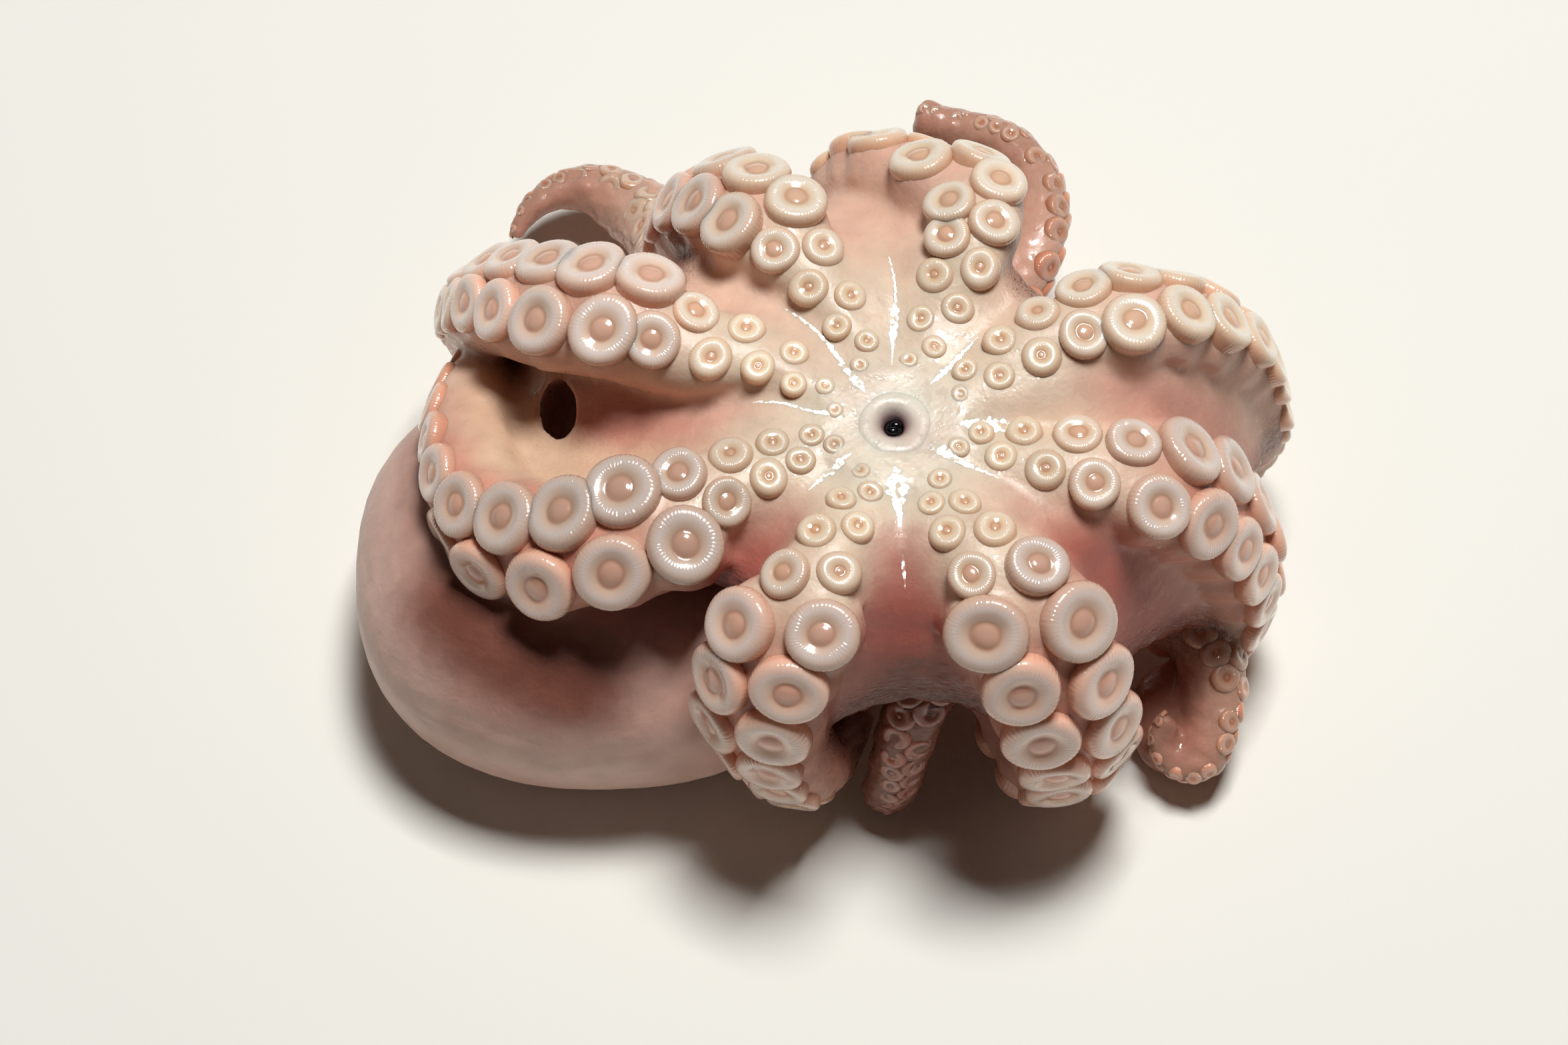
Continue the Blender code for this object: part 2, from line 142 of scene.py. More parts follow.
ARMS: dict[str, Arm] = {
    "west_back": Arm(
        163, 6,
        ((3, 33, -1), (-6, -43, 0), (-3, 18, 0), (17, -14, -1), (28, 19, 2), (12, 6, -1),
         (13, -1, 1), (11, 4, -1), (23, -6, 1), (33, -2, -1), (14, 55, 3), (5, -14, -1), (-1, 72, 1)),
        size=0.98, small=1.03, bloom=25.0, first=3.1, row=Row.LEFT, pitch=4.4, growth=0.075),
    "west_front": Arm(
        -165, 0,
        ((0, -5, 0), (1, -11, -4), (10, 3, -5), (16, 17, -7), (15, 14, -8), (15, 17, -11), (27, 17, -10),
         (12, -3, -4), (8, -13, -1), (14, -4, 3), (16, -21, 3), (1, 18, -3), (39, -29, 5), (1, 60, 2)),
        size=1.06, small=1.25, bloom=21.0, first=3.6, row=Row.LEFT, pitch=2.9, growth=0.18, spread=0.93),
    "front_left": Arm(
        -114, 1,
        ((-8, 0, 0), (16, 7, 0), (30, 4, 1), (29, 1, 0), (19, -2, 0), (14, -7, 0),
         (7, -9, 0), (42, 13, 1), (62, -2, -2), (13, 26, 6), (32, 58, -4)),
        size=1.04, small=1.2, bloom=21.0, first=3.6, row=Row.RIGHT, pitch=3.0, growth=0.215, spread=0.97),
    "front_right": Arm(
        -64, -2,
        ((-12, -7, 2), (12, 0, 5), (32, 4, 5), (29, 0, 0), (11, 3, 0), (16, -4, 0), (9, 6, 0),
         (32, 11, 0), (70, -3, -4), (25, 5, -4), (36, 18, -6), (15, 7, -13), (63, 67, -16),
         (30, 11, -12), (13, 9, -13), (9, 26, 0)),
        size=1.1, small=1.22, bloom=20.0, first=5.0, row=Row.LEFT, pitch=2.6, growth=0.22, tip=2.6,
        roll=-50.0),
    "east_front": Arm(
        -16, -3,
        ((-10, -7, 0), (3, 6, 0), (23, -9, 3), (30, -8, 4), (11, 10, 1), (12, 4, 0), (12, 2, 0),
         (14, 5, -1), (58, -16, -7), (62, -4, -1), (80, 16, 5), (56, 31, -9), (14, 36, -27),
         (15, 26, -28), (92, 57, 4), (69, 90, -9)),
        size=1.0, small=1.22, bloom=26.0, first=3.9, row=Row.RIGHT, pitch=3.6, growth=0.155, tail=1.4,
        roll=-20.0),
    "east_back": Arm(
        31, 4,
        ((-10, -1, 1), (6, 1, -3), (12, 11, -12), (29, -9, -6), (17, 3, 0), (15, -12, 2),
         (15, 13, 4), (-2, -20, 6), (36, 10, 4), (41, 28, 5), (58, -29, -8), (11, -52, 0)),
        size=0.88, small=1.15, bloom=23.0, first=4.3, row=Row.RIGHT, pitch=4.3, growth=0.07),
    "back_right": Arm(
        72, -1,
        ((-8, 5, 0), (-20, 3, 0), (31, -24, -2), (29, -31, 9), (11, -2, 14), (18, 5, 15),
         (28, -3, 3), (-8, 41, 0), (8, 31, -3), (26, 35, -10), (12, 26, -10), (-26, 62, -19),
         (-10, 32, -16), (31, 22, -23), (26, 37, -12), (5, -16, -6)),
        size=0.88, small=1.08, bloom=27.0, first=4.3, row=Row.LEFT, pitch=5.0, growth=0.0, spread=0.95,
        tip=2.4, tail=1.2, roll=-90.0),
    "back_left": Arm(
        111, 0,
        ((-5, 0, 0), (-9, -13, 0), (15, -8, -2), (28, -3, 0), (24, -6, 0), (21, 2, 0),
         (-5, 10, 0), (-12, 8, 7), (-28, 5, 8), (-18, -39, 13), (25, -56, 8), (43, -24, 7)),
        size=0.95, small=1.05, bloom=24.0, first=4.3, row=Row.LEFT, pitch=5.3, growth=0.04, spread=0.9,
        roll=15.0),
}

WEBS: tuple[Web, ...] = (
    Web("west_back", "west_front", 62.0, 82.0, 0.0, 4.0, left_depth=0.7, right_depth=0.25, crease=0.3,
        film=((5.2, 0.1), (6.0, 0.35), (7.5, 0.25), (9.0, 0.12), (14.0, 0.1), (15.5, 0.0))),
    Web("west_front", "front_left", 36.0, 31.0, 0.16, 5.0, crease=0.5,
        film=((6.0, 0.05), (7.5, 0.35), (10.0, 0.2), (12.0, 0.0))),
    Web("front_left", "front_right", 56.0, 56.0, 0.24, 1.0, crease=0.5,
        film=((5.4, 0.1), (7.8, 1.2), (9.0, 0.7), (10.5, 0.4), (12.5, 0.0), (15.2, 0.0), (15.8, 0.2),
              (17.8, 0.1), (18.4, 0.0))),
    Web("front_right", "east_front", 46.0, 67.0, 0.1, 1.0, left_depth=0.4, right_depth=0.12, crease=0.55,
        film=((4.6, 0.1), (5.8, 0.55), (8.5, 0.3), (11.5, 0.1), (13.0, 0.0))),
    Web("east_front", "east_back", 66.0, 62.0, 0.04, -1.5, left_depth=0.75, right_depth=-0.05, crease=0.3,
        film=((6.5, 0.0), (8.6, 0.6), (10.8, 0.8), (12.4, 0.4), (13.0, 0.0))),
    Web("east_back", "back_right", 24.0, 29.0, 0.14, 2.5, crease=0.42,
        film=((6.0, 0.0), (7.5, 0.35), (10.0, 0.25), (13.0, 0.1), (14.0, 0.0))),
    Web("back_right", "back_left", 58.0, 39.0, 0.0, 1.5, left_depth=0.3, crease=0.55,
        film=((7.0, 0.0), (9.5, 0.1), (11.0, 0.4), (14.0, 0.35), (15.0, 0.1), (20.0, 0.08), (21.0, 0.0))),
    Web("back_left", "west_back", 44.0, 46.0, 0.14, 3.0, left_depth=0.3, right_depth=0.5, crease=0.36,
        film=((4.8, 0.1), (6.0, 0.5), (8.5, 0.3), (12.0, 0.2), (17.5, 0.1), (19.0, 0.0))),
)


# Small helpers.


def linear(hex_colour: str) -> tuple[float, float, float, float]:
    """Turn an sRGB hex colour to a linear one.

    Args:
        hex_colour: six hex digits, with or without a leading hash.

    Returns:
        Red, green, blue and an alpha of one.
    """
    digits = hex_colour.lstrip("#")
    parts = [int(digits[i:i + 2], 16) / 255 for i in (0, 2, 4)]
    red, green, blue = (p / 12.92 if p <= 0.04045 else ((p + 0.055) / 1.055) ** 2.4 for p in parts)
    return red, green, blue, 1.0


def tone(hex_colour: str) -> Array:
    """The linear colour as an array of three."""
    return np.array(linear(hex_colour)[:3])


def ease(value: Array | float, low: float, high: float) -> Array:
    """Go smoothly from 0 at `low` to 1 at `high`."""
    part = np.clip((np.asarray(value, float) - low) / (high - low), 0.0, 1.0)
    return part * part * (3.0 - 2.0 * part)


def blend(under: Array, over: Array, share: Array) -> Array:
    """Lay one colour over others.

    Args:
        under: one colour for each point.
        over: a single colour.
        share: how much of it each point takes.

    Returns:
        The mixed colours.
    """
    return under * (1.0 - share[:, None]) + over[None, :] * share[:, None]


def finish_mesh(bm: BMesh, name: str) -> Object:
    """Keep a bmesh as a new object.

    Args:
        bm: the shape in millimetres, freed afterwards.
        name: the object's name.

    Returns:
        The object, linked to the scene and smooth-shaded.
    """
    mesh = bpy.data.meshes.new(name)
    bm.to_mesh(mesh)
    bm.free()
    mesh.shade_smooth()
    made = bpy.data.objects.new(name, mesh)
    bpy.context.scene.collection.objects.link(made)
    return made


def set_in_frame(piece: Object) -> None:
    """Bring a finished mesh from millimetres about the mouth to metres in the frame."""
    piece.data.transform(Matrix.Scale(MILLIMETRE, 4) @ Matrix.Translation(MOUTH_IN_FRAME))
    piece.data.update()


def corners(mesh: Mesh) -> Array:
    """The places of a mesh's vertices."""
    places = np.empty(len(mesh.vertices) * 3, np.float32)
    mesh.vertices.foreach_get("co", places)
    return places.reshape(-1, 3).astype(float)


def facings(mesh: Mesh) -> Array:
    """The normals of a mesh's vertices."""
    normals = np.empty(len(mesh.vertices) * 3, np.float32)
    mesh.vertex_normals.foreach_get("vector", normals)
    return normals.reshape(-1, 3).astype(float)


def put_corners(mesh: Mesh, places: Array) -> None:
    """Move a mesh's vertices to new places."""
    mesh.vertices.foreach_set("co", places.astype(np.float32).ravel())
    mesh.update()


def ripple(places: Array, size: float, shift: float = 0.0) -> Array:
    """Smooth uneven waves, about -1 to 1, with humps of a given size.

    Args:
        places: where to read them.
        size: the breadth of a hump in the units of the places.
        shift: moves the pattern, so that two layers differ.

    Returns:
        One height for each place.
    """
    return np.array([noise.noise(Vector(place)) for place in places / size + shift])


def wobble(places: Array, size: float) -> Array:
    """Uneven waves with humps of a given size, one column for each axis."""
    return np.stack([ripple(places, size, shift) for shift in (0.0, 11.0, 23.0)], axis=1)


def trace(knots: tuple[Point, ...]) -> Array:
    """Many points along a line through some knots."""
    share = np.linspace(0, len(knots) - 1, 60)
    return np.stack([np.interp(share, range(len(knots)), axis) for axis in zip(*knots)], axis=1)


def soften(mesh: Mesh, values: Array, rounds: int) -> Array:
    """Even out what the vertices carry with their neighbours.

    Args:
        mesh: the mesh.
        values: a row for each vertex.
        rounds: how many times each vertex takes half of its neighbours' mean.

    Returns:
        The softened rows.
    """
    edges = np.empty(len(mesh.edges) * 2, np.int32)
    mesh.edges.foreach_get("vertices", edges)
    one, other = edges.reshape(-1, 2).T
    count = np.bincount(edges, minlength=len(values)).clip(1)[:, None]
    for _ in range(rounds):
        total = sum(np.stack([np.bincount(end, column[far], len(column)) for column in values.T], axis=1)
                    for end, far in ((one, other), (other, one)))
        values = (values + total / count) / 2
    return values


def tree_of(points: Array) -> KDTree:
    """A search tree over some points."""
    tree = KDTree(len(points))
    for i, point in enumerate(points):
        tree.insert(point, i)
    tree.balance()
    return tree


def nearest(tree: KDTree, places: Array) -> tuple[NDArray[np.int64], Array]:
    """Find the point of a tree that is nearest to each place.

    Args:
        tree: the search tree.
        places: where to look from.

    Returns:
        The points' numbers and how far away they are.
    """
    found = [tree.find(place) for place in places]
    return np.array([hit[1] for hit in found]), np.array([hit[2] for hit in found])


def store(mesh: Mesh, name: str, colours: Array) -> None:
    """Keep one colour for each vertex under a name."""
    attribute = mesh.color_attributes.new(name, "FLOAT_COLOR", "POINT")
    full = np.concatenate([colours, np.ones((len(colours), 1))], axis=1).astype(np.float32)
    attribute.data.foreach_set("color", full.ravel())


def add_modifier(piece: Object, kind: str, **settings: object) -> None:
    """Give an object one modifier with its settings."""
    modifier = piece.modifiers.new(kind.title(), kind)
    for key, value in settings.items():
        setattr(modifier, key, value)


def apply_modifiers(piece: Object) -> None:
    """Keep the shape that the modifiers give, and drop them."""
    depsgraph = bpy.context.evaluated_depsgraph_get()
    mesh = bpy.data.meshes.new_from_object(piece.evaluated_get(depsgraph), depsgraph=depsgraph)
    piece.modifiers.clear()
    old = piece.data
    piece.data = mesh
    bpy.data.meshes.remove(old)


def cut(piece: Object, cutter: Object) -> None:
    """Take one closed shape out of another and remove the cutter."""
    add_modifier(piece, "BOOLEAN", operation="DIFFERENCE", solver="MANIFOLD", object=cutter)
    apply_modifiers(piece)
    bpy.data.objects.remove(cutter, do_unlink=True)


def keep_largest_shell(piece: Object) -> None:
    """Leave only the outer skin of a remeshed shape."""
    bm = bmesh.new()
    bm.from_mesh(piece.data)
    seen: set[BMVert] = set()
    shells: list[list[BMVert]] = []
    for start in bm.verts:
        if start in seen:
            continue
        seen.add(start)
        shell, waiting = [], [start]
        while waiting:
            vert = waiting.pop()
            shell.append(vert)
            for edge in vert.link_edges:
                other = edge.other_vert(vert)
                if other not in seen:
                    seen.add(other)
                    waiting.append(other)
        shells.append(shell)
    shells.sort(key=len)
    bmesh.ops.delete(bm, geom=[v for shell in shells[:-1] for v in shell], context="VERTS")
    bm.to_mesh(piece.data)
    bm.free()


def spin_section(bm: BMesh, verts: list[BMVert], sides: int) -> None:
    """Join some vertices into half a section and spin it a full turn about the upright axis.

    Args:
        bm: the bmesh that holds nothing but the vertices.
        verts: the section's points in order.
        sides: how many sides the turned shape has.
    """
    for first, second in zip(verts, verts[1:]):
        bm.edges.new((first, second))
    bmesh.ops.spin(bm, geom=bm.verts[:] + bm.edges[:], cent=(0, 0, 0), axis=(0, 0, 1), dvec=(0, 0, 0),
                   angle=math.tau, steps=sides, use_merge=True, use_normal_flip=False, use_duplicate=False)
    bmesh.ops.remove_doubles(bm, verts=bm.verts[:], dist=0.0005)
    bmesh.ops.recalc_face_normals(bm, faces=bm.faces[:])


def lay_grid(bm: BMesh, across: int, along: int, place: Callable[[float, float], Vector]) -> list[BMVert]:
    """Lay a grid of faces and put each corner where it belongs.

    Args:
        bm: the bmesh that takes the grid.
        across: how many faces it has from side to side.
        along: how many faces it has from end to end.
        place: gives a corner's place from its two shares of the grid, 0 to 1.

    Returns:
        The grid's corners.
    """
    made = bmesh.ops.create_grid(bm, x_segments=across, y_segments=along, size=1.0)
    for vert in made["verts"]:
        vert.co = place((vert.co.x + 1.0) / 2.0, (vert.co.y + 1.0) / 2.0)
    return made["verts"]


# The run of the arms and the places of the suckers.


@dataclass
class Route:
    """Where an arm runs: points in the middle of its sucker rows, headings and sucker sides."""

    arm: Arm
    points: Array
    headings: Array
    orals: Array

    @classmethod
    def walk(cls, arm: Arm) -> "Route":
        """Follow an arm's bends from the mouth to the tip.

        Args:
            arm: the arm's plan.

        Returns:
            The route, one sample every WALK_STEP.
        """
        azimuth, lift = math.radians(arm.azimuth), math.radians(arm.lift)
        out = np.array([math.cos(azimuth), math.sin(azimuth), 0.0])
        up = np.array([0.0, 0.0, 1.0])
        heading = out * math.cos(lift) + up * math.sin(lift)
        oral = up * math.cos(lift) - out * math.sin(lift)
        point = out * MOUTH_RADIUS + up * MOUTH_HEIGHT
        rows = [(point, heading, oral)]
        steps = round(BEND_LENGTH / WALK_STEP)
        for curl, turn, twist in np.radians(arm.bends) / steps:
            for _ in range(steps):
                side = np.cross(heading, oral)
                ahead = heading - oral * curl + side * turn
                ahead /= np.linalg.norm(ahead)
                point = point + (heading + ahead) * WALK_STEP / 2
                oral = oral + side * twist + heading * curl
                oral = oral - ahead * (oral @ ahead)
                oral /= np.linalg.norm(oral)
                heading = ahead
                rows.append((point, heading, oral))
        points, headings, orals = (np.array(column) for column in zip(*rows))
        route = cls(arm, points, headings, orals)
        gone = np.arange(len(points)) * WALK_STEP
        roll = np.radians(arm.roll * ease(gone, TAIL_FROM, TAIL_FULL))[:, None]
        rolled = orals * np.cos(roll) + np.cross(headings, orals) * np.sin(roll)
        route.points = points + (rolled - orals) * route.thickness(gone)[:, None] / 2
        route.orals = rolled
        return route

    @property
    def total(self) -> float:
        """The arm's length."""
        return (len(self.points) - 1) * WALK_STEP

    def index(self, distance: float) -> int:
        """The sample nearest to a distance from the mouth."""
        return min(max(round(distance / WALK_STEP), 0), len(self.points) - 1)

    def sized(self, knots: Knots, tip: float, distance: Array | float) -> Array:
        """Read a size off its knots and run it down to the tip over the last stretch.

        Args:
            knots: pairs of distance and size.
            tip: the size at the tip.
            distance: where to read it.

        Returns:
            The size there, for an arm of size one.
        """
        used = [knot for knot in knots if knot[0] < self.total - END_ROUNDING] + [(self.total, tip)]
        return np.interp(distance, [place for place, _ in used], [value for _, value in used])

    def half_width(self, distance: Array | float) -> Array:
        """Half the arm's breadth across its sucker rows."""
        return self.arm.size * self.sized(HALF_WIDTHS, TIP_HALF_WIDTH * self.arm.tip, distance)

    def thickness(self, distance: Array | float) -> Array:
        """The arm's depth under its sucker rows, fuller again where a tail is rolled up."""
        tail = np.interp(distance, (TAIL_FROM, TAIL_FULL), (1.0, self.arm.tail))
        return self.arm.size * tail * self.sized(THICKNESSES, TIP_THICKNESS * self.arm.tip, distance)


@dataclass(frozen=True)
class Sucker:
    """One sucker: the middle of its rim, the way it faces, and where on which arm it sits."""

    rim: Array
    facing: Array
    diameter: float
    distance: float
    arm: str


@dataclass(frozen=True)
class SuckerRule:
    """How the two staggered rows are set out along an arm.

    Offsets from the arm's middle are in diameters and tilts in degrees, both by the distance
    from the mouth; the last tilt is the tip's.
    """

    offsets: Knots = ((4.0, 0.45), (14.0, 0.6), (24.0, 0.52), (30.0, 0.46))
    tilts: Knots = ((0.0, 2.0), (12.0, 10.0), (28.0, 20.0))
    tip_tilt: float = 24.0
    bare_tip: float = 0.6
    elbow_room: float = 0.36
    big: float = 8.0
    big_until: float = 38.0
    small: float = 1.2
    small_growth: float = 0.15
    bloom_length: float = 4.0
    crowding: float = 0.95
    rim_height: float = 0.16
    flange: float = 1.26
    flange_when_full: float = 1.05

    def breadth(self, diameter: float) -> float:
        """How wide a sucker is over its swollen wall, which stands out past the rim of a small one."""
        grown = float(ease(diameter, 3.8, 7.6))
        return diameter * (self.flange + (self.flange_when_full - self.flange) * grown)

    def full_size(self, arm: Arm, distance: float, total: float) -> float:
        """The size of a full-grown sucker, dwindling to the tip."""
        return float(arm.size * np.interp(distance, (self.big_until, total), (self.big, 0.6 + 0.4 * arm.tip)))

    def diameter(self, arm: Arm, distance: float, total: float) -> float:
        """Suckers grow slowly from the mouth, swell at the bloom and dwindle to the tip."""
        small = arm.small * (self.small + self.small_growth * distance)
        big = self.full_size(arm, distance, total)
        swell = float(ease((distance - arm.bloom) / self.bloom_length + 0.5, 0.0, 1.0))
        return min(small, big) * (1.0 - swell) + big * swell

    def rows(self, name: str, route: Route) -> list[Sucker]:
        """Set the suckers of one arm.

        Args:
            name: the arm's name.
            route: where it runs.

        Returns:
            Its suckers, from the mouth to the tip.
        """
        arm, total = route.arm, route.total
        distance, side, made = arm.first, arm.row.value, []
        while distance < total - self.bare_tip:
            diameter = self.diameter(arm, distance, total)
            i = route.index(distance)
            oral = route.orals[i]
            across = np.cross(route.headings[i], oral) * side
            offset = arm.spread * diameter * np.interp(distance, *zip(*self.offsets))
            tilt = math.radians(np.interp(distance, *zip(*self.tilts, (total, self.tip_tilt))))
            facing = oral * math.cos(tilt) + across * math.sin(tilt)
            rim = route.points[i] + across * offset - oral * offset * math.tan(tilt / 2)
            rim = rim + facing * self.rim_height * diameter * (0.35 + 0.65 * float(ease(diameter, 3.0, 7.0)))
            breadth = self.breadth(diameter)
            gaps = (np.linalg.norm(rim - other.rim) / (breadth + other.diameter) for other in made)
            if all(gap > self.elbow_room for gap in gaps):
                made.append(Sucker(rim, facing, breadth, distance, name))
            crowded = self.crowding * self.full_size(arm, distance, total)
            distance += 0.5 * min(arm.pitch + arm.growth * distance, crowded)
            side = -side
        return made


# Finishes.


@dataclass(frozen=True)
class Look:
    """A material in the making: its nodes, and the Principled shader that they lead to."""

    material: Material

    @classmethod
    def start(cls, name: str) -> "Look":
        """Begin a material named for what the finish is."""
        material = bpy.data.materials.new(name)
        material.use_nodes = True
        return cls(material)

    def add(self, kind: str, inputs: Inputs = (), output: int | str = 0, **settings: object) -> NodeSocket:
        """Add one shader node with its settings and links.

        Args:
            kind: the node's type, without the words before its name.
            inputs: fixed values or other nodes' sockets, in order or by name or number.
            output: the output that is wanted.
            settings: the node's own properties.

        Returns:
            The output's socket.
        """
        node = self.material.node_tree.nodes.new("ShaderNode" + kind)
        for key, value in settings.items():
            setattr(node, key, value)
        for key, value in inputs.items() if isinstance(inputs, dict) else enumerate(inputs):
            self.feed(node.inputs[key], value)
        return node.outputs[output]

    def feed(self, entry: NodeSocket, value: object) -> None:
        """Lead another node's socket into an input, or give the input a fixed value."""
        if isinstance(value, NodeSocket):
            self.material.node_tree.links.new(value, entry)
        else:
            entry.default_value = value

    def finish(self, **values: object) -> Material:
        """Feed the shader, an underscore standing for each space in an input's name.

        Args:
            values: a fixed value or a socket for each input.

        Returns:
            The material.
        """
        shader = self.material.node_tree.nodes["Principled BSDF"]
        for key, value in values.items():
            self.feed(shader.inputs[key.replace("_", " ")], value)
        return self.material


def per_metre(millimetres: float) -> float:
    """The texture scale that gives features of this size on Object coordinates in metres."""
    return 1000.0 / millimetres


@dataclass(frozen=True)
class CookedFlesh:
    """Blanched octopus skin: set protein that light still sinks into, moist all over.

    The tone of each place comes with the mesh. The finish adds the mottling of the cooked
    skin, its pores and the fine folds along the webs' free edges, which break up the shine.
    Where broth stands, in the creases round the mouth, the surface turns mirror smooth.
    """

    mottle_mm: float = 3.4
    blush_mm: float = 9.0
    freckle_mm: float = 0.24
    pore_mm: float = 0.5
    wrinkle_mm: float = 1.5
    fold_mm: float = 2.6
    puddle_mm: float = 1.1
    sunk_light_mm: float = 1.4
    roughness: float = 0.4
    wet_roughness: float = 0.1
    folds_per_centimetre: float = 26.0
    blush: str = "#C07E6C"
    freckle: str = "#4C2822"

    def make(self) -> Material:
        """Build the material."""
        look = Look.start("blanched_skin")
        place = look.add("TexCoord", output="Object")
        base = look.add("Attribute", attribute_name="tone")
        marks = look.add("SeparateColor", (look.add("Attribute", attribute_name="marks"),)).node.outputs
        dusk, wet, edge = marks[:3]
        mottle, blush, freckles, puddles = (
            look.add("MapRange", (look.add("TexNoise", {"Vector": place, "Scale": per_metre(size),
                                                        "Detail": detail}), *span))
            for size, detail, span in (
                (self.mottle_mm, 4.0, (0.3, 0.7, 0.9, 1.06)), (self.blush_mm, 2.0, (0.45, 0.72, 0.0, 0.22)),
                (self.freckle_mm, 1.0, (0.36, 0.5, 1.0, 0.0)), (self.puddle_mm, 3.0, (0.3, 0.7, -0.4, 0.4))))
        mottled = look.add("Mix", {0: 1.0, 6: base, 7: mottle}, 2, data_type="RGBA", blend_type="MULTIPLY")
        blushed = look.add("Mix", {0: blush, 6: mottled, 7: linear(self.blush)}, 2, data_type="RGBA")
        dusted = look.add("Math", (freckles, dusk), operation="MULTIPLY")
        colour = look.add("Mix", {0: dusted, 6: blushed, 7: linear(self.freckle)}, 2, data_type="RGBA")
        puddle = look.add("Math", (wet, puddles), operation="ADD")
        roughness = look.add("MapRange", (puddle, 0.5, 0.68, self.roughness, self.wet_roughness))
        return look.finish(Base_Color=colour, Roughness=roughness, Normal=self.relief(look, place, edge),
                           Subsurface_Weight=0.5, Subsurface_Radius=(1.0, 0.5, 0.38),
                           Subsurface_Scale=self.sunk_light_mm * MILLIMETRE, IOR=1.38, Coat_Weight=0.08,
                           Coat_Roughness=0.22)

    def relief(self, look: Look, place: NodeSocket, edge: NodeSocket) -> NodeSocket:
        """Lay pores, wrinkles and, along the free edges, fine folds over each other.

        Args:
            look: the material in the making.
            place: the Object coordinates.
            edge: how far it is to a free edge, in centimetres.

        Returns:
            The normal.
        """
        pores = look.add("TexVoronoi", {"Vector": place, "Scale": per_metre(self.pore_mm)})
        wrinkles = look.add("TexNoise", {"Vector": place, "Scale": per_metre(self.wrinkle_mm),
                                         "Detail": 3.0, "Distortion": 0.6})
        x, _, z = look.add("SeparateXYZ", (place,)).node.outputs
        along = per_metre(self.fold_mm)
        folded = look.add("CombineXYZ", tuple(
            look.add("Math", pair, operation="MULTIPLY")
            for pair in ((edge, self.folds_per_centimetre), (x, along), (z, along))))
        folds = look.add("TexNoise", {"Vector": folded, "Scale": 1.0, "Detail": 2.0})
        near = look.add("MapRange", (edge, 0.25, 0.65, 1.0, 0.0))
        pleats = look.add("Math", (folds, near), operation="MULTIPLY")
        under: dict[str | int, object] = {}
        for height, strength, depth_mm in ((pores, 0.2, 0.1), (wrinkles, 0.3, 0.35), (pleats, 0.7, 0.4)):
            normal = look.add("Bump", {"Height": height, "Strength": strength,
                                       "Distance": depth_mm * MILLIMETRE, **under})
            under = {"Normal": normal}
        return normal


@dataclass(frozen=True)
class SuckerMuscle:
    """A sucker's muscle ring: milky, half clear and glossy, with a flesh-pink ball in its cup.

    Fine radial grooves over the rim break its ring of light into short strokes, more
    strongly in the film of broth on it than in the muscle.
    """

    roughness: float = 0.22
    grooves: int = 46
    patch_mm: float = 1.6
    groove_drift: float = 9.0
    groove_depth_mm: float = 0.016
    film_depth_mm: float = 0.04
    sunk_light_mm: float = 1.3
    bands: tuple[tuple[float, str], ...] = (
        (0.0, "#F4D5C4"), (0.2, "#F0CDBA"), (0.27, "#E6C2AC"), (0.33, "#FBEAD8"), (0.41, "#FFF6EC"),
        (0.49, "#FFFFFF"), (0.58, "#FCF1E8"), (0.66, "#F5DFCF"), (0.74, "#EECBB6"), (1.0, "#E2B198"))

    def make(self) -> Material:
        """Build the material."""
        look = Look.start("milky_sucker_muscle")
        around, outward, _ = look.add("SeparateXYZ", (look.add("UVMap", uv_map="section"),)).node.outputs
        ramp = look.add("ValToRGB", (outward,))
        band = ramp.node.color_ramp
        while len(band.elements) < len(self.bands):
            band.elements.new(0.5)
        for element, (position, colour) in zip(band.elements, self.bands):
            element.position = position
            element.color = linear(colour)
        base = look.add("Attribute", attribute_name="tone")
        milk = look.add("Mix", {0: 1.0, 6: base, 7: ramp}, 2, data_type="RGBA", blend_type="MULTIPLY")
        height = self.groove_height(look, around, outward)
        normal, film_normal = (
            look.add("Bump", {"Height": height, "Strength": strength, "Distance": depth_mm * MILLIMETRE})
            for strength, depth_mm in ((0.5, self.groove_depth_mm), (0.8, self.film_depth_mm)))
        return look.finish(Base_Color=milk, Roughness=self.roughness, Normal=normal, Coat_Normal=film_normal,
                           Subsurface_Weight=0.6, Subsurface_Radius=(1.0, 0.94, 0.9),
                           Subsurface_Scale=self.sunk_light_mm * MILLIMETRE, IOR=1.38, Coat_Weight=0.9,
                           Coat_Roughness=0.045)

    def groove_height(self, look: Look, around: NodeSocket, outward: NodeSocket) -> NodeSocket:
        """Work out the radial grooves, which come and go over the rim.

        Args:
            look: the material in the making.
            around: the share of the turn about the sucker.
            outward: the share of the way along its section.

        Returns:
            The height.
        """
        place = look.add("TexCoord", output="Object")
        patches = look.add("TexNoise", {"Vector": place, "Scale": per_metre(self.patch_mm), "Detail": 2.0})
        on_rim = look.add("MapRange", (outward, 0.4, 0.46, 0.0, 1.0))
        patchy = look.add("MapRange", (patches, 0.35, 0.6, 0.1, 1.0))
        turned, drifted, strength = (
            look.add("Math", pair, operation="MULTIPLY")
            for pair in ((around, math.tau * self.grooves), (patches, self.groove_drift), (on_rim, patchy)))
        phase = look.add("Math", (turned, drifted), operation="ADD")
        groove = look.add("Math", (phase,), operation="SINE")
        return look.add("Math", (groove, strength), operation="MULTIPLY")


